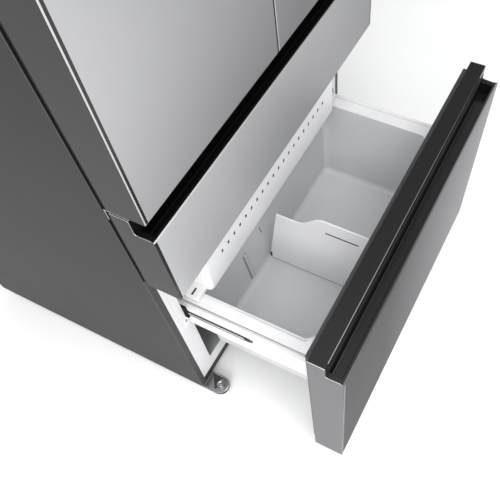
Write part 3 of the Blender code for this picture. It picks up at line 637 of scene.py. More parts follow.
def grip_trim(prefix, finishes, beads):
    low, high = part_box(f"{prefix}_grip_trim")
    face_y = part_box(f"{prefix}_front")[0].y
    lip = high.z - CREST_RISE - 0.0006
    floor = low.z + 0.008
    riser = face_y + GROOVE_BACK
    outline = [
        (face_y + 0.0016, low.z), (high.y, low.z), (high.y, high.z), (riser, high.z),
    ]
    for share in beads:
        height = floor + (high.z - floor) * share
        outline += [(riser, height + BEAD), (riser - BEAD, height), (riser, height - BEAD)]
    outline += [
        (riser, floor), (face_y + 0.0105, floor), (face_y + 0.0088, lip), (face_y + 0.0040, lip),
        (face_y + 0.0040, lip - 0.003), (face_y + 0.0016, lip - 0.003),
    ]
    work = extruded(outline, low.x, high.x)
    crest = [e for e in along(work, "X") if near(e, 2, high.z)]
    rounded(work, crest, 0.0018, 3)
    bottom = [e for e in along(work, "X") if near(e, 2, floor)]
    rounded(work, bottom, 0.005, 4)
    for face in facing(work, (0, 0, 1), 0.9):
        if face.calc_center_median().z > high.z - 0.001:
            face.material_index = 1
    for x_low, x_high in ((low.x, low.x + END_BLOCK), (high.x - END_BLOCK, high.x)):
        before = set(work.faces)
        block = box_in(work, (x_low, face_y + 0.0060, floor - 0.001), (x_high, riser + 0.001, lip - 0.0006))
        rounded(work, edges_of(block), 0.0012, 2)
        for face in set(work.faces) - before:
            face.material_index = 1
    return piece(f"{prefix}_grip", work, finishes, prefix, (f"{prefix}_grip_trim",))


def crest_highlight(prefix):
    """A painted highlight along the front edge of the crest, bright at the left and dark at the right."""
    low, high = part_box(f"{prefix}_grip_trim")
    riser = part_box(f"{prefix}_front")[0].y + GROOVE_BACK
    work = bmesh.new()
    box_in(
        work, (low.x + END_BLOCK, riser - 0.0004, high.z - 0.0022),
        (high.x - 0.001, riser + 0.0014, high.z + 0.0003),
    )
    rounded(work, along(work, "X"), 0.0006, 2)
    return piece(f"{prefix}_crest_highlight", work, EDGE_LINE, prefix)


# The chiller grip is all in the deeper black, painted shade for the shade under the door.
for prefix, finishes, beads in (
    ("upper_drawer", (DEEP_ABS, DEEP_ABS), ()), ("lower_drawer", (BLACK_ABS, SATIN_ABS), (0.62, 0.30)),
):
    made = grip_trim(prefix, finishes, beads)
    print(made.name, len(made.data.polygons), "faces")
print(crest_highlight("lower_drawer").name)

# %% [markdown]
# ## The cabinet
#
# The wrapper is one sheet folded into two sides and a top, with a narrow return round the front. The
# folds are made on a press brake, so they have a visible radius. The box is opened at the back and
# bottom, the front is inset by the width of the return, and the sheet then gets its thickness.

# %% Cabinet wrapper
RETURN = 0.020
FOLD = 0.005
WRAPPER_SHEET = 0.0012
DRAWER_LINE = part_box("upper_drawer_front")[0].z


def cabinet_wrapper():
    low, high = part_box("cabinet_wrapper")
    work = bmesh.new()
    box_in(work, low, high)
    drop(work, facing(work, (0, 1, 0)))
    front = facing(work, (0, -1, 0))
    bmesh.ops.inset_region(work, faces=front, thickness=RETURN, use_even_offset=True)
    work.normal_update()
    for face in facing(work, (0, -1, 0)):
        middle = face.calc_center_median()
        is_opening = abs(middle.x) < 0.05 and middle.z < 1.7
        if is_opening:
            drop(work, [face])
    drop(work, facing(work, (0, 0, -1)))
    for vert in work.verts:
        if vert.co.z < low.z + RETURN + 0.001:
            vert.co.z = low.z
    folds = bent(work, 1)
    rounded(work, folds, FOLD, 4)
    whole = [*work.verts, *work.edges, *work.faces]
    bmesh.ops.bisect_plane(work, geom=whole, dist=0.00001, plane_co=(0, 0, DRAWER_LINE), plane_no=(0, 0, 1))
    work.normal_update()
    for face in facing(work, (0, -1, 0), 0.5):
        face.material_index = 1
    # Painted shade: the fold's front edge above the drawers is painted black for the shade in the gap beside
    # the doors.
    for face in work.faces:
        middle = face.calc_center_median()
        if middle.y < low.y + FOLD / 3 and middle.z > DRAWER_LINE and abs(middle.x) > high.x - FOLD:
            face.material_index = 2
    finishes = (CABINET_PAINT, RETURN_PAINT, DEEP_ABS)
    return piece(
        "cabinet_shell", work, finishes, "cabinet", ("cabinet_wrapper",), WRAPPER_SHEET
    )


made = cabinet_wrapper()
print(made.name, len(made.data.polygons), "faces")

# %% [markdown]
# ## Liners
#
# A liner is drawn from one sheet of polystyrene over a form, so every corner is generously round and
# the sheet turns out in front into a flange. The frame's solid already has the right walls: the
# copy keeps only the faces that look into the space and the front of the flange, and these are
# rounded before the sheet gets its thickness outwards.


# %% Liners
SMALL_STEP = 0.0030
LINER_SHEET = 0.0022
MOUTH_RADIUS = 0.004


def level_small_steps(work, front):
    """Levels a wall with the one a hair behind it, because no sheet is drawn round such a step."""
    depths = sorted({round(vert.co.y, 5) for vert in work.verts})
    for near_y, far_y in zip(depths, depths[1:]):
        if far_y - near_y < SMALL_STEP and near_y > front + SMALL_STEP:
            ends = [vert.co.x for vert in work.verts if abs(vert.co.y - near_y) < 0.0002]
            for x in (min(ends), max(ends)):
                whole = [*work.verts, *work.edges, *work.faces]
                bmesh.ops.bisect_plane(work, geom=whole, dist=0.00001, plane_co=(x, 0, 0), plane_no=(1, 0, 0))
            for vert in work.verts:
                if abs(vert.co.y - near_y) < 0.0002:
                    vert.co.y = far_y
    bmesh.ops.remove_doubles(work, verts=work.verts, dist=0.0001)
    bmesh.ops.dissolve_degenerate(work, edges=work.edges, dist=0.0001)
    bmesh.ops.dissolve_limit(work, angle_limit=0.01, verts=work.verts, edges=work.edges)
    work.normal_update()


def drawn_liner(node, middle, radius, inside):
    work = copy_of(node)
    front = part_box(node)[0].y
    middle = Vector(middle)
    lost = []
    for face in work.faces:
        centre = face.calc_center_median()
        is_flange = abs(centre.y - front) < 0.0005 and face.normal.y < -0.9
        behind_flange = abs(centre.y - front) < 0.004 and face.normal.y > 0.9
        looks_in = (middle - centre).dot(face.normal) > 0 and not behind_flange
        if not is_flange and not looks_in:
            lost.append(face)
    drop(work, lost)
    level_small_steps(work, front)
    rounded(work, [e for e in bent(work, 0.5) if not near(e, 1, front)], radius, 5)
    rounded(work, [e for e in bent(work, 0.5) if near(e, 1, front)], MOUTH_RADIUS, 3)
    # Faces behind the flange take the inside finish; for the freezer it is the painted shade grey.
    for face in work.faces:
        if face.calc_center_median().y > front + 0.006:
            face.material_index = 1
    return piece(node + "_drawn", work, (WHITE_LINER, inside), "cabinet", (node,), LINER_SHEET)


def middle_of(node):
    low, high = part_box(node)
    return (low + high) / 2


freezer_middle = middle_of("freezer_liner")
freezer_middle.z = 0.45
for node, middle, radius, inside in (
    ("fridge_liner", middle_of("fridge_liner"), 0.022, WHITE_LINER),
    ("chiller_liner", middle_of("chiller_liner"), 0.018, WHITE_LINER),
    ("freezer_liner", freezer_middle, 0.014, SHADE_GREY),
):
    made = drawn_liner(node, middle, radius, inside)
    print(made.name, len(made.data.polygons), "faces")

# %% [markdown]
# ## Freezer basket
#
# The basket is a deep tub with soft corners and a shallow step behind, for the place where the
# machine compartment rises. Its tub is painted a darker white than its rim, as painted shade. It
# hangs by its flat rim, on ledges that reach to the side rails. One leaning rib stiffens the left
# half of its back wall; a wider grey bar under it is painted shade along its sides, and a shorter
# grey bar lies beside it.

# %% Basket
BASKET_RADIUS = 0.018
BASKET_WALL = 0.0028


def deep_basket():
    work = copy_of("lower_basket")
    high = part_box("lower_basket")[1]
    tray_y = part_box("sliding_tray")[0].y
    middle = Vector((0, tray_y, high.z - 0.020))
    lost = []
    for face in work.faces:
        centre = face.calc_center_median()
        is_rim = face.normal.z > 0.9 and centre.z > high.z - 0.0005
        if not is_rim and (middle - centre).dot(face.normal) <= 0:
            lost.append(face)
    drop(work, lost)
    rounded(work, [e for e in bent(work, 0.5) if not near(e, 2, high.z)], BASKET_RADIUS, 6)
    rounded(work, [e for e in bent(work, 0.5) if near(e, 2, high.z)], MOUTH_RADIUS, 3)
    # The rim keeps the lighter liner white; the tub below it is painted shade.
    for face in facing(work, (0, 0, 1), 0.7):
        if face.calc_center_median().z > high.z - 0.004:
            face.material_index = 1
    finishes = (SHADED_WHITE, WHITE_LINER)
    return piece(
        "freezer_basket", work, finishes, "lower_drawer", ("lower_basket",), BASKET_WALL
    )


def leaning_bars(name, finish, bars, raised):
    """Bars on the basket's back wall: each is (x, z, lean, length, width)."""
    step_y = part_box("sliding_tray")[0].y + 0.040
    work = bmesh.new()
    for x, z, lean, length, width in bars:
        bar = box_in(work, (-width / 2, -raised, -length / 2), (width / 2, 0.002, length / 2))
        place = Matrix.Translation((x, step_y, z)) @ Euler((0, lean, 0)).to_matrix().to_4x4()
        bmesh.ops.transform(work, matrix=place, verts=bar)
        rounded(work, edges_of(bar), min(raised, 0.002) * 0.8, 3)
    return piece(name, work, finish, "lower_drawer")


def rim_ledges():
    """The ledge between the basket's rim and the side rails that carry it."""
    low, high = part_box("lower_basket")
    frame_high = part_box("basket_frame")[1]
    work = bmesh.new()
    for _, sign in SIDES:
        edges = sorted((sign * (high.x - 0.0010), sign * (high.x + 0.0050)))
        soft_box(
            work, (edges[0], low.y + 0.004, high.z - 0.0085),
            (edges[1], frame_high.y - 0.002, high.z - 0.0062), 0.0006,
        )
    return piece("basket_rim_ledges", work, WHITE_COAT, "lower_drawer")


RIBS = ((-0.139, 0.242, -0.11, 0.136, 0.0085),)
GREY_BARS = ((-0.139, 0.242, -0.11, 0.141, 0.0165), (-0.056, 0.312, -0.22, 0.034, 0.0045))
for made in (
    deep_basket(),
    leaning_bars("basket_grey_bars", SHADE_GREY, GREY_BARS, 0.0006),
    leaning_bars("basket_wall_ribs", SHADED_WHITE, RIBS, 0.0045),
    rim_ledges(),
):
    print(made.name, len(made.data.polygons), "faces")

# %% [markdown]
# ## Sliding tray
#
# The tray rides over the basket on four small brackets. Its front wall has a row of upright vents.
# They are real openings: the wall is cut into strips at each vent's edges, and the small faces are
# removed before the wall gets its thickness.

# %% Tray
TRAY_HALF = 0.3315
VENTS = 20
VENT_PITCH = 0.0273
VENT_WIDTH, VENT_LOW, VENT_HIGH = 0.0068, 0.5085, 0.5190
BRACKET_TOP = 0.450
TRAY_WALL = 0.0026
TRAY_CORNER = 0.014


def tray():
    low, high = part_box("sliding_tray")
    work = bmesh.new()
    box_in(work, (-TRAY_HALF, low.y, low.z), (TRAY_HALF, high.y, high.z))
    drop(work, facing(work, (0, 0, 1)))
    rounded(work, along(work, "Z"), TRAY_CORNER, 5)
    bottom = [e for e in work.edges if near(e, 2, low.z)]
    rounded(work, bottom, 0.005, 3)
    first = -VENT_PITCH * (VENTS - 1) / 2
    vents = [first + count * VENT_PITCH for count in range(VENTS)]
    planes = [((x + half, 0, 0), (1, 0, 0)) for x in vents for half in (-VENT_WIDTH / 2, VENT_WIDTH / 2)]
    planes += [((0, 0, VENT_LOW), (0, 0, 1)), ((0, 0, VENT_HIGH), (0, 0, 1))]
    for point, normal in planes:
        cut_faces(work, facing(work, (0, -1, 0), 0.9999), point, normal)
        work.normal_update()
    holes = []
    for face in facing(work, (0, -1, 0), 0.9999):
        centre = face.calc_center_median()
        in_vent = any(abs(centre.x - x) < VENT_WIDTH / 2 for x in vents)
        if in_vent and VENT_LOW < centre.z < VENT_HIGH:
            holes.append(face)
    drop(work, holes)
    rim = [edge for edge in work.edges if edge.is_boundary and near(edge, 2, high.z)]
    grown = bmesh.ops.extrude_edge_only(work, edges=rim)["geom"]
    moved = verts_in(grown)
    middle = Vector((0, (low.y + high.y) / 2, 0))
    bmesh.ops.scale(
        work, vec=(1.012, 1.022, 1), verts=moved, space=Matrix.Translation(-middle)
    )
    work.normal_update()
    # The wall's cut edges take the grey as painted shade inside the vents; the top rim is set back to white
    # below.
    finishes = (LIT_WHITE, GROOVE_GREY)
    made = piece("tray_tub", work, finishes, "tray", ("sliding_tray",), TRAY_WALL, 1)
    for face in made.data.polygons:
        if face.center.z > high.z - 0.006:
            face.material_index = 0
    return made


def tray_brackets():
    """Four brackets that slide on the basket's rims, each with a dark patch on top as painted shade for its
    slot.
    """
    low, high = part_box("sliding_tray")
    plastic = bmesh.new()
    slots = bmesh.new()
    for sign in (-1, 1):
        for depth in (0.015, 0.275):
            edges = sorted((sign * (TRAY_HALF - 0.003), sign * high.x))
            front = low.y + depth
            soft_box(
                plastic, (edges[0], front, low.z + 0.0003), (edges[1], front + 0.040, BRACKET_TOP), 0.003, 3
            )
            middle = sum(edges) / 2 + sign * 0.006
            box_in(
                slots, (middle - 0.010, front + 0.016, BRACKET_TOP - 0.0020),
                (middle + 0.010, front + 0.021, BRACKET_TOP + 0.0003),
            )
    rounded(slots, along(slots, "Z"), 0.0012, 2)
    piece("tray_bracket_slot_shade", slots, SEAL, "tray")
    return piece("tray_brackets", plastic, WHITE_COAT, "tray")


for made in (tray(), tray_brackets()):
    print(made.name, len(made.data.polygons), "faces")

# %% [markdown]
# ## Divider
#
# The divider is a moulded wall with an S in its top edge, in the tray's lighter white as painted
# light. The frame's solid already has the curve, so it is copied and softened. It gets a wider foot
# along its lower edge, a small clip on its back edge that holds it on the basket's wall, and a dark
# strip in its slot that is painted shade.

# %% Divider and its clip
# Painted light: the divider takes the tray's lighter white.
softened("basket_divider", 0.0009, LIT_WHITE, "divider")


def divider_fittings():
    low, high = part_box("basket_divider")
    x = (low.x + high.x) / 2
    foot = bmesh.new()
    box_in(foot, (x - 0.006, low.y + 0.001, low.z - 0.001), (x + 0.006, high.y - 0.006, low.z + 0.005))
    rounded(foot, foot.edges, 0.0022, 3)
    piece("divider_foot", foot, SHADED_WHITE, "divider")
    clip = bmesh.new()
    for y_front, z_low, z_high in ((high.y - 0.006, 0.152, 0.172), (high.y - 0.019, 0.150, 0.1555)):
        soft_box(clip, (x - 0.0040, y_front, z_low), (x + 0.0040, high.y - 0.0008, z_high), 0.0012)
    piece("divider_clip", clip, SEAL, "divider")
    # Painted shade: a dark strip in the divider's slot.
    slot = bmesh.new()
    box_in(slot, (x - 0.0023, low.y + 0.0262, 0.3784), (x + 0.0023, low.y + 0.1208, 0.3828))
    rounded(slot, along(slot, "Y"), 0.0008, 2)
    return piece("divider_slot_shade", slot, SEAL, "divider")


print(divider_fittings().name)

# %% [markdown]
# ## Slides, rails and their small parts
#
# The runner of a drawer slide is a bright flat bar on a dark backing, which is partly painted shade
# along its edges, and a plastic stop with a latch ring closes its end. It leaves the cabinet through a
# black housing set in a white bezel.


# %% Slides
def lathe(work, profile, middle, axis="Z", steps=24):
    """Spins a profile of (radius, height) points into a closed round solid at middle."""
    points = [work.verts.new((radius, 0, height)) for radius, height in profile]
    edges = [work.edges.new(pair) for pair in zip(points, points[1:])]
    bmesh.ops.spin(
        work, geom=points + edges, cent=(0, 0, 0), axis=(0, 0, 1), angle=math.tau, steps=steps, use_merge=True
    )
    made = [v for v in work.verts if not v.tag]
    bmesh.ops.remove_doubles(work, verts=made, dist=0.00001)
    made = [v for v in work.verts if not v.tag]
    turn = {"X": Euler((0, math.pi / 2, 0)), "Y": Euler((-math.pi / 2, 0, 0)), "Z": Euler((0, 0, 0))}[axis]
    matrix = Matrix.Translation(middle) @ turn.to_matrix().to_4x4()
    bmesh.ops.transform(work, matrix=matrix, verts=made)
    faces = {face for vert in made for face in vert.link_faces}
    bmesh.ops.recalc_face_normals(work, faces=list(faces))
    for vert in made:
        vert.tag = True
    work.normal_update()


def pan_head(radius, height):
    """Profile of a pan-head screw with a shallow recess."""
    return [
        (0, height * 0.55), (radius * 0.32, height * 0.55), (radius * 0.36, height),
        (radius * 0.78, height * 0.92), (radius, height * 0.45), (radius, -0.001), (0, -0.001),
    ]


def slide_fittings(side, sign):
    """Dark backing behind the runner, partly the slide's own member and partly painted shade along the
    runner's edges; its stop and the latch ring in front of it.
    """
    low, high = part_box(f"lower_slide_{side}")
    inner, outer = sorted((abs(low.x), abs(high.x)))
    body = f"lower_slide_{side[0]}"
    backing = bmesh.new()
    edges = sorted((sign * (inner - 0.0010), sign * (inner + 0.0004)))
    box_in(backing, (edges[0], low.y + 0.006, low.z - 0.0026), (edges[1], high.y - 0.002, high.z + 0.0026))
    edges = sorted((sign * (outer - 0.0003), sign * (outer + 0.0004)))
    box_in(backing, (edges[0], low.y + 0.006, low.z - 0.0016), (edges[1], high.y - 0.002, low.z + 0.0009))
    rounded(backing, along(backing, "Y"), 0.0003, 2)
    piece(f"lower_slide_backing_{side}", backing, BLACK_ENAMEL, body)
    stop = bmesh.new()
    edges = sorted((sign * (inner - 0.0008), sign * (outer + 0.0004)))
    box_in(stop, (edges[0], low.y - 0.004, low.z - 0.0012), (edges[1], low.y + 0.010, high.z + 0.0012))
    rounded(stop, stop.edges, 0.0010, 3)
    lathe(
        stop, [(0, 0.0012), (0.0030, 0.0012), (0.0036, 0.0004), (0.0036, -0.0012), (0, -0.0012)],
        (sign * (inner + 0.0010), low.y - 0.008, (low.z + high.z) / 2), "X", 20,
    )
    piece(f"lower_slide_stop_{side}", stop, BLACK_ABS, body)


def slide_mouth(side, sign):
    """The black housing that the runner leaves the cabinet through, its white bezel, and a clip in the
    painted shade grey.
    """
    low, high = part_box(f"lower_slide_{side}")
    inner, outer = sorted((abs(low.x), abs(high.x)))
    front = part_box("freezer_liner")[0].y
    housing = bmesh.new()
    for x_near, x_far, z_low, z_high in (
        (inner - 0.0002, outer + 0.0020, high.z + 0.0034, 0.4370),
        (inner - 0.0002, outer + 0.0020, 0.3840, low.z - 0.0034),
        (outer + 0.0006, outer + 0.0020, 0.3840, 0.4370),
    ):
        edges = sorted((sign * x_near, sign * x_far))
        soft_box(housing, (edges[0], front - 0.0108, z_low), (edges[1], front + 0.014, z_high), 0.0005)
    piece(f"slide_mouth_{side}", housing, DEEP_ABS, "cabinet")
    bezel = bmesh.new()
    for x_near, x_far, z_low, z_high, proud in (
        (outer + 0.0026, 0.4210, 0.345, 0.572, 0.0014),
        (inner - 0.0002, outer + 0.0036, 0.345, 0.3836, 0.0011),
    ):
        edges = sorted((sign * x_near, sign * x_far))
        soft_box(bezel, (edges[0], front - proud, z_low), (edges[1], front - 0.0002, z_high), 0.0005)
    piece(f"slide_bezel_{side}", bezel, WHITE_LINER, "cabinet")
    clip = bmesh.new()
    edges = sorted((sign * (outer + 0.0034), sign * (outer + 0.0090)))
    box_in(clip, (edges[0], front - 0.0034, 0.3660), (edges[1], front - 0.0010, 0.3760))
    rounded(clip, clip.edges, 0.0010, 3)
    return piece(f"slide_clip_{side}", clip, SHADE_GREY, "cabinet")


for side, sign in SIDES:
    softened(f"lower_slide_{side}", 0.0008, RUNNER, f"lower_slide_{side[0]}")
    softened(f"upper_slide_{side}", 0.0015, RUNNER, f"upper_slide_{side[0]}")
    softened(f"lower_rail_{side}", 0.0008, BLACK_ABS, "cabinet")
    slide_fittings(side, sign)
    print(slide_mouth(side, sign).name)

# %% [markdown]
# ## Feet, brackets and rollers
#
# A levelling foot is a turned part: a wide disc, a collar and a stem with grooves for its thread. Its
# profile is spun about the foot's axis. The cup bracket that holds it keeps the frame's shape with
# its edges rounded: painted highlight on the rim, painted shade on the floor, a six-sided nut on the boss.


# %% Feet and rollers
def foot(side):
    low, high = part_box(f"levelling_foot_{side}")
    middle = ((low.x + high.x) / 2, (low.y + high.y) / 2, low.z)
    radius = (high.x - low.x) / 2
    work = bmesh.new()
    profile = [(0, 0.036), (0.0035, 0.036), (0.0050, 0.0345)]
    turns = 9
    for turn in range(turns):
        z = 0.034 - turn * 0.0021
        profile += [(0.0050, z), (0.0043, z - 0.00105)]
    profile += [
        (0.0050, 0.0145), (0.0098, 0.0140), (0.0105, 0.0132), (0.0105, 0.0088), (0.0110, 0.0080),
        (0.0165, 0.0078), (radius - 0.0010, 0.0058), (radius, 0.0045), (radius, 0.0010),
        (radius - 0.0010, 0.0), (0, 0.0),
    ]
    lathe(work, profile, middle, "Z", 32)
    body = f"foot_{side[0]}"
    return piece(f"foot_disc_{side}", work, ZINC, body, (f"levelling_foot_{side}",))


def collar(side):
    """The nut on the bracket's boss."""
    low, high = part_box(f"levelling_foot_{side}")
    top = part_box(f"foot_bracket_{side}")[1].z
    work = bmesh.new()
    profile = [
        (0.0060, top - 0.002), (0.0060, top + 0.0008), (0.0072, top + 0.0016), (0.0086, top + 0.0014),
        (0.0092, top + 0.0004), (0.0092, top - 0.002), (0.0060, top - 0.002),
    ]
    lathe(work, profile, ((low.x + high.x) / 2, (low.y + high.y) / 2, 0), "Z", 6)
    return piece(f"foot_nut_{side}", work, RUNNER, "cabinet")


def foot_cup(side):
    """The cup bracket: its rim carries a painted highlight, and its floor is painted dark zinc as painted
    shade.
    """
    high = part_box(f"foot_bracket_{side}")[1]
    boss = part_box(f"levelling_foot_{side}")
    middle = (boss[0] + boss[1]) / 2
    made = softened(
        f"foot_bracket_{side}", 0.0012, (HIGHLIGHT_EDGE, SHADED_ZINC, ZINC), "cabinet", 3
    )
    for face in made.data.polygons:
        near_boss = math.hypot(face.center.x - middle.x, face.center.y - middle.y) < 0.0112
        if near_boss:
            face.material_index = 2
        elif face.center.z < high.z - 0.0050:
            face.material_index = 1
    return made


def roller(side):
    low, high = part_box(f"rear_roller_{side}")
    radius = (high.z - low.z) / 2
    middle = (low + high) / 2
    half = 0.0110
    end = (high.x - low.x) / 2
    profile = [
        (0, end), (0.0026, end), (0.0030, end - 0.0006), (0.0030, half + 0.0010), (0.0060, half),
        (0.0075, half - 0.0016), (radius - 0.0020, half - 0.0006), (radius, half - 0.0022),
    ]
    profile += [(r, -z) for r, z in reversed(profile)]
    work = bmesh.new()
    lathe(work, profile, middle, "X", 32)
    body = f"roller_{side[0]}"
    return piece(f"roller_wheel_{side}", work, TYRE, body, (f"rear_roller_{side}",))


for side, _ in SIDES:
    foot_cup(side)
    print(foot(side).name, collar(side).name, roller(side).name)

# %% [markdown]
# ## Hinges
#
# The top hinges are plates with a pin, bolted down under a black cover, and the middle ones hold the
# doors' lower pins. The covers are thin mouldings with rounded edges, open below.


# %% Hinges and covers
COVER_WALL = 0.0012


def hinge_cover(side):
    low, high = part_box(f"hinge_cover_{side}")
    work = bmesh.new()
    box_in(work, low, high)
    drop(work, facing(work, (0, 0, -1)))
    rounded(work, along(work, "Z"), 0.010, 5)
    rounded(work, [e for e in work.edges if near(e, 2, high.z)], 0.004, 4)
    node = f"hinge_cover_{side}"
    return piece(f"hinge_cap_{side}", work, BLACK_ABS, "cabinet", (node,), COVER_WALL)


def hinge_bolts(side):
    low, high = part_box(f"top_hinge_{side}")
    work = bmesh.new()
    plate = high.z - 0.0005
    for x, y in ((0.3, 0.62), (0.7, 0.74), (0.3, 0.88)):
        place = (low.x + (high.x - low.x) * x, low.y + (high.y - low.y) * y, plate)
        lathe(work, pan_head(0.0065, 0.0045), place, "Z", 16)
    return piece(f"hinge_bolts_{side}", work, ZINC, "cabinet")


for side, _ in SIDES:
    softened(f"top_hinge_{side}", 0.0006, ZINC, "cabinet")
    softened(f"mid_hinge_{side}", 0.0005, ZINC, "cabinet")
    print(hinge_cover(side).name, hinge_bolts(side).name)

# %% [markdown]
# ## Back of the cabinet
#
# The back sheet is pressed with shallow panels that keep it from drumming. A grid is laid in the
# sheet's place. Each cell is inset flat and then rising, which makes the sloping wall of a pressing,
# and then again flat and dropping, for its inner field. Hooded slots in the cover below let the
# machine compartment breathe.


# %% Back sheet, louvres and screws
BACK_SHEET = 0.0008
PRESSING_RISE = 0.0040
PRESSING_DROP = 0.0030


def back_sheet():
    low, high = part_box("back_panel")
    work = bmesh.new()
    bmesh.ops.create_grid(work, x_segments=2, y_segments=3, size=0.5)
    size = high - low
    matrix = (
        Matrix.Translation(((low.x + high.x) / 2, high.y, (low.z + high.z) / 2))
        @ Matrix.Diagonal((size.x, 1, size.z, 1))
        @ Matrix.Rotation(-math.pi / 2, 4, "X")
    )
    bmesh.ops.transform(work, matrix=matrix, verts=work.verts)
    bmesh.ops.recalc_face_normals(work, faces=work.faces)
    work.normal_update()
    if work.faces[:][0].normal.y < 0:
        bmesh.ops.reverse_faces(work, faces=work.faces)
        work.normal_update()
    cells = list(work.faces)
    bmesh.ops.inset_individual(work, faces=cells, thickness=0.045)
    bmesh.ops.inset_individual(work, faces=cells, thickness=0.008, depth=PRESSING_RISE)
    bmesh.ops.inset_individual(work, faces=cells, thickness=0.030)
    bmesh.ops.inset_individual(work, faces=cells, thickness=0.006, depth=-PRESSING_DROP)
    bends = bent(work, 0.2)
    rounded(work, bends, 0.0015, 2)
    return piece("pressed_back_sheet", work, SPANGLE, "cabinet", ("back_panel",), BACK_SHEET)


def machine_hoods():
    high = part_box("machine_cover")[1]
    work = bmesh.new()
    for column in range(4):
        for row in range(6):
            x = -0.33 + column * 0.16
            z = 0.14 + row * 0.016
            hood = box_in(work, (x, high.y - 0.0008, z + 0.0056), (x + 0.060, high.y + 0.0036, z + 0.0084))
            for vert in hood:
                if vert.co.y > high.y + 0.003:
                    vert.co.z -= 0.0040
    rounded(work, [e for e in work.edges if len(e.link_faces) == 2], 0.0006, 2)
    return piece("louvre_hoods", work, CABINET_PAINT, "cabinet")


def back_screws():
    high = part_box("machine_cover")[1]
    work = bmesh.new()
    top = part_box("back_panel")[1]
    places = [(x, z) for x in (-0.42, -0.14, 0.14, 0.42) for z in (0.062, high.z - 0.012)]
    places += [(x, z) for x in (-0.435, 0.435) for z in (0.45, 0.80, 1.15, 1.50, top.z - 0.02)]
    for x, z in places:
        lathe(work, pan_head(0.0055, 0.0030), (x, high.y, z), "Y", 14)
    return piece("back_screws", work, ZINC, "cabinet")


softened("machine_cover", 0.0003, CABINET_PAINT, "cabinet", 1)
softened("power_inlet", 0.0004, BLACK_ABS, "cabinet", 1)
for made in (back_sheet(), machine_hoods(), back_screws()):
    print(made.name, len(made.data.polygons), "faces")

# %% [markdown]
# ## Rails, deck and the basket's frame
#
# These are bent from thicker sheet. The frame's own solids have the right shape, so a small radius
# on every sharp edge is all that they need to catch the light as steel does.

# %% Softened steelwork
softened("basket_frame", 0.0010, WHITE_COAT, "lower_drawer")
for node in ("lower_cross_rail", "upper_cross_rail"):
    softened(node, 0.0010, CABINET_PAINT, "cabinet")
softened("base_deck", 0.0004, CABINET_PAINT, "cabinet", 1)
print("steelwork softened")

# %% [markdown]
# ## Bins, crispers and shelves
#
# Clear bins are injection moulded: rounded corners, an even wall and a rim that turns outwards. One
# helper makes them all from the frame's boxes. Crispers also get a grip along the front, and the
# glass shelves a moulded edge.


# %% Moulded bins
def tub(node, body, radius, wall=0.0026, rim=0.004):
    low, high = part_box(node)
    work = bmesh.new()
    box_in(work, (low.x + rim, low.y + rim, low.z), (high.x - rim, high.y - rim, high.z))
    drop(work, facing(work, (0, 0, 1)))
    rounded(work, along(work, "Z"), radius, 5)
    rounded(work, [e for e in work.edges if near(e, 2, low.z)], radius * 0.6, 4)
    edge = [e for e in work.edges if e.is_boundary]
    middle = (low + high) / 2
    grown = bmesh.ops.extrude_edge_only(work, edges=edge)["geom"]
    moved = verts_in(grown)
    wider = [size / (size - 2 * rim) for size in (high - low)[:2]]
    bmesh.ops.scale(work, vec=(*wider, 1), verts=moved, space=Matrix.Translation(-middle))
    turned = [item for item in grown if isinstance(item, bmesh.types.BMEdge) and item.is_boundary]
    grown = bmesh.ops.extrude_edge_only(work, edges=turned)["geom"]
    moved = verts_in(grown)
    bmesh.ops.translate(work, vec=(0, 0, -0.006), verts=moved)
    work.normal_update()
    return piece(node + "_moulded", work, CLEAR, body, (node,), wall)


for side, _ in SIDES:
    for place in ("lower", "upper"):
        tub(f"{side}_door_bin_{place}", f"{side}_door", 0.016)
    tub(f"crisper_{side}", f"crisper_{side[0]}", 0.014)
tub("upper_drawer_bin", "upper_drawer", 0.016)
print("bins moulded")


# %% Shelves with their edges, and bin and crisper grips
def shelf(node):
    low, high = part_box(node)
    glass = bmesh.new()
    box_in(glass, low + Vector((0.004, 0.006, 0)), high - Vector((0.004, 0.004, 0)))
    rounded(glass, along(glass, "Z"), 0.006, 4)
    rounded(glass, [e for e in glass.edges if near(e, 2, high.z)], 0.0008, 2)
    piece(node + "_pane", glass, GLASS, "cabinet", (node,))
    trim = bmesh.new()
    for y_low, y_high in ((low.y - 0.004, low.y + 0.014), (high.y - 0.014, high.y)):
        soft_box(trim, (low.x, y_low, low.z - 0.006), (high.x, y_high, high.z + 0.0025), 0.0025, 3)
    return piece(node + "_edges", trim, WHITE_COAT, "cabinet")


def crisper_grip(side):
    low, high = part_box(f"crisper_{side}")
    work = bmesh.new()
    box_in(
        work, (low.x + 0.020, low.y - 0.010, high.z - 0.030),
        (high.x - 0.020, low.y + 0.006, high.z - 0.006),
    )
    lower = [v for v in work.verts if v.co.z < high.z - 0.020 and v.co.y < low.y]
    bmesh.ops.translate(work, vec=(0, 0.009, 0), verts=lower)
    rounded(work, work.edges, 0.003, 3)
    return piece(f"crisper_grip_{side}", work, WHITE_COAT, f"crisper_{side[0]}")


def bin_bar(side, place):
    """A satin bar along the outer top edge of a door bin."""
    low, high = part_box(f"{side}_door_bin_{place}")
    work = bmesh.new()
    box_in(
        work, (low.x + 0.006, high.y - 0.0025, high.z - 0.024),
        (high.x - 0.006, high.y + 0.0015, high.z - 0.004),
    )
    rounded(work, work.edges, 0.0014, 3)
    return piece(f"{side}_bin_bar_{place}", work, ZINC, f"{side}_door")


for node in ("glass_shelf", "crisper_cover"):
    shelf(node)
for side, _ in SIDES:
    crisper_grip(side)
    for place in ("lower", "upper"):
        bin_bar(side, place)
print("shelves and grips made")

# %% [markdown]
# ## Duct panel and lamp
#
# Cold air enters through the duct panel on the back wall. Its slots are the cells of a grid, inset
# and pushed in. The lamp is a ribbed diffuser in the ceiling.


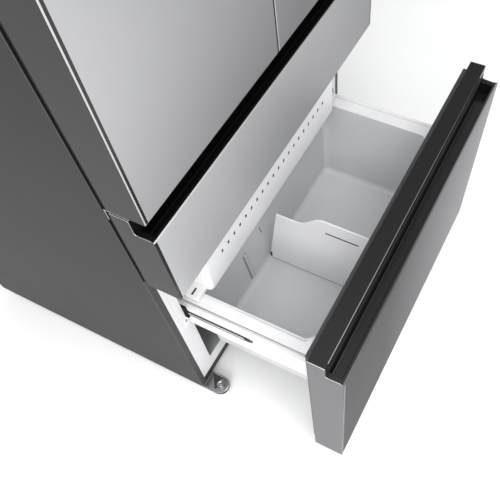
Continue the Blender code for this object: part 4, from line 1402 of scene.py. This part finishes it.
# %% Duct panel and lamp
def duct_panel():
    low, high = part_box("air_duct_panel")
    work = bmesh.new()
    box_in(work, low, high)
    for face in facing(work, (0, -1, 0)):
        bmesh.ops.subdivide_edges(
            work, edges=[e for e in face.edges if abs(e.verts[0].co.z - e.verts[1].co.z) > 0.1],
            cuts=13, use_grid_fill=True,
        )
    work.normal_update()
    rows = sorted(facing(work, (0, -1, 0)), key=lambda f: f.calc_center_median().z)
    slots = [face for number, face in enumerate(rows) if number in (2, 3, 6, 7, 10, 11)]
    bmesh.ops.inset_individual(work, faces=slots, thickness=0.010)
    bmesh.ops.inset_individual(work, faces=slots, thickness=0.003, depth=-0.008)
    # Painted shade: the slots' floors are painted dark.
    for face in slots:
        face.material_index = 1
    border = bent(work, 1.2)
    rounded(work, border, 0.002, 3)
    return piece("duct_panel", work, (WHITE_LINER, SEAL), "cabinet", ("air_duct_panel",))


def lamp():
    low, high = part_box("ceiling_light")
    work = bmesh.new()
    box_in(work, low, high)
    rounded(work, along(work, "Z"), 0.010, 4)
    rounded(work, [e for e in work.edges if near(e, 2, low.z)], 0.003, 3)
    ribs = 18
    for count in range(ribs):
        x = low.x + 0.014 + count * (high.x - low.x - 0.028) / (ribs - 1)
        soft_box(
            work, (x - 0.0015, low.y + 0.006, low.z - 0.0012),
            (x + 0.0015, high.y - 0.006, low.z + 0.002), 0.0005,
        )
    return piece("ceiling_lamp", work, DIFFUSER, "cabinet", ("ceiling_light",))


for made in (duct_panel(), lamp()):
    print(made.name, len(made.data.polygons), "faces")

# %% [markdown]
# ## Inside of the doors and drawer fronts
#
# Behind each steel skin is a white moulded panel with foam in it. The panel steps in from the seal,
# and the doors' panels have two upright dikes between which the bins hang. The step is an inset, the
# dikes are rounded bars, and small pads on them carry the bins.


# %% Inner panels
def inner_door(side, sign):
    low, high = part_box(f"{side}_door_inner")
    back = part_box(f"{side}_door_skin")[1].y
    work = bmesh.new()
    box_in(work, (low.x, low.y, low.z), (high.x, back, high.z))
    rear = facing(work, (0, 1, 0))
    bmesh.ops.inset_region(work, faces=rear, thickness=0.032, use_even_offset=True)
    bmesh.ops.inset_region(work, faces=rear, thickness=0.004, depth=0.004, use_even_offset=True)
    bmesh.ops.inset_region(work, faces=rear, thickness=0.030, use_even_offset=True)
    bmesh.ops.inset_region(work, faces=rear, thickness=0.006, depth=-0.006, use_even_offset=True)
    steps = bent(work, 0.3)
    rounded(work, steps, 0.0014, 2)
    for inner, outer in ((0.055, 0.063), (0.397, 0.405)):
        edges = sorted((sign * inner, sign * outer))
        soft_box(work, (edges[0], back - 0.01, 0.940), (edges[1], high.y, 1.685), 0.0032, 4)
    for name in ("lower", "upper"):
        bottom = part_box(f"{side}_door_bin_{name}")[0].z
        for x in (0.060, 0.400):
            soft_box(
                work, (sign * x - 0.0038, back + 0.020, bottom + 0.030),
                (sign * x + 0.0038, back + 0.060, bottom + 0.070), 0.0012,
            )
    return piece(
        f"{side}_door_panel", work, WHITE_LINER, f"{side}_door", (f"{side}_door_inner",)
    )


def inner_front(prefix):
    low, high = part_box(f"{prefix}_inner_panel")
    work = bmesh.new()
    box_in(work, low, high)
    rear = facing(work, (0, 1, 0))
    bmesh.ops.inset_region(work, faces=rear, thickness=0.032, use_even_offset=True)
    bmesh.ops.inset_region(work, faces=rear, thickness=0.004, depth=-0.003, use_even_offset=True)
    steps = bent(work, 0.3)
    rounded(work, steps, 0.0014, 2)
    return piece(
        f"{prefix}_back", work, WHITE_LINER, prefix, (f"{prefix}_inner_panel",)
    )


for side, sign in SIDES:
    print(inner_door(side, sign).name)
    softened(f"{side}_door_gasket", 0.0022, SEAL, f"{side}_door", 3)
for prefix in ("upper_drawer", "lower_drawer"):
    print(inner_front(prefix).name)
    softened(f"{prefix}_gasket", 0.0022, SEAL, prefix, 3)

# %% [markdown]
# ## Folding mullion
#
# The bar that closes the gap between the doors is a flat moulding with a magnetic strip. Its long
# edges are rounded, and the strip is an inset on the side that meets the seals.


# %% Mullion
def mullion():
    low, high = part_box("mullion_flap")
    work = bmesh.new()
    box_in(work, low, high)
    rounded(work, along(work, "Z"), 0.0025, 3)
    faces = facing(work, (0, -1, 0))
    bmesh.ops.inset_region(work, faces=faces, thickness=0.006)
    bmesh.ops.inset_region(work, faces=faces, thickness=0.001, depth=-0.001)
    for face in faces:
        face.material_index = 1
    finishes = (SATIN_ABS, BLACK_ENAMEL)
    return piece("folding_mullion", work, finishes, "mullion", ("mullion_flap",))


print(mullion().name)

# %% [markdown]
# ## What keeps the frame's own shape
#
# The foam and the compressor stay as the frame has them, with their own finishes.

# %% Finishes on the frame's solids
for node, finish in (("foam_core", FOAM), ("compressor", BLACK_ENAMEL)):
    NODES[node].data.materials.clear()
    NODES[node].data.materials.append(finish)
    print(node, "->", finish.name)

# %% [markdown]
# ## Floor, light and camera
#
# A pale floor and a pale surround are most of what satin steel shows. A broad soft panel hangs
# overhead, a smaller one stands at the left and another in front, and the world fills the rest. The
# camera looks down from above the left front corner, as someone would who has just pulled the
# drawer open.


# %% Floor
def floor():
    work = bmesh.new()
    bmesh.ops.create_grid(work, x_segments=1, y_segments=1, size=6.0)
    mesh = bpy.data.meshes.new("studio_floor")
    work.to_mesh(mesh)
    work.free()
    made = bpy.data.objects.new("studio_floor", mesh)
    bpy.context.scene.collection.objects.link(made)
    mesh.materials.append(
        surface("pale_studio_floor", ("#f3f3f3", "#f6f6f6"), (0.75, 0.85), 0.05, 0.0001)
    )


floor()


# %% Lights
def panel_light(name, place, aim, size, power):
    light = bpy.data.lights.new(name, "AREA")
    light.shape = "RECTANGLE"
    light.size, light.size_y = size
    light.energy = power
    made = bpy.data.objects.new(name, light)
    bpy.context.scene.collection.objects.link(made)
    made.location = place
    made.rotation_euler = (Vector(aim) - Vector(place)).to_track_quat("-Z", "Y").to_euler()


panel_light("overhead_panel", (-0.8, -1.4, 4.2), (0, -0.2, 0.4), (3.5, 3.5), 125)
panel_light("left_panel", (-3.2, -1.2, 2.4), (0, -0.4, 0.4), (1.6, 1.6), 66)
panel_light("front_panel", (-1.2, -3.8, 2.2), (0, -0.3, 0.5), (2.0, 2.0), 56)

world = bpy.data.worlds.new("studio_surround")
bpy.context.scene.world = world
world.use_nodes = True
world.node_tree.nodes["Background"].inputs["Color"].default_value = linear("#f2f3f4")
world.node_tree.nodes["Background"].inputs["Strength"].default_value = 0.72
bpy.context.scene.view_settings.view_transform = "Standard"
print("stage lit")

# %% Camera
AZIMUTH, DOWN, ROLL = math.radians(57.548), math.radians(61.513), math.radians(-5.860)
EYE = (-0.81736, FACE_Y - 0.51749, 1.6509)
LENS_MM = 42.565
SHIFT = (-0.10768, 0.10340)


def set_camera():
    ahead = Vector(
        (math.sin(AZIMUTH) * math.cos(DOWN), math.cos(AZIMUTH) * math.cos(DOWN), -math.sin(DOWN))
    )
    level = Vector((math.cos(AZIMUTH), -math.sin(AZIMUTH), 0))
    upright = level.cross(ahead)
    right = math.cos(ROLL) * level + math.sin(ROLL) * upright
    up = math.cos(ROLL) * upright - math.sin(ROLL) * level
    turn = Matrix((right, up, -ahead)).transposed().to_4x4()
    camera = bpy.data.objects.new("camera", bpy.data.cameras.new("camera"))
    camera.data.lens = LENS_MM
    camera.data.shift_x, camera.data.shift_y = SHIFT
    camera.data.clip_start = 0.02
    camera.matrix_world = Matrix.Translation(EYE) @ turn
    bpy.context.scene.collection.objects.link(camera)
    bpy.context.scene.camera = camera


set_camera()
print("camera set")

# %% [markdown]
# ## Last update
#
# The visual model has to keep the frame's size; the scene is brought up to date at the end.

# %% Update the scene
bpy.context.view_layer.update()
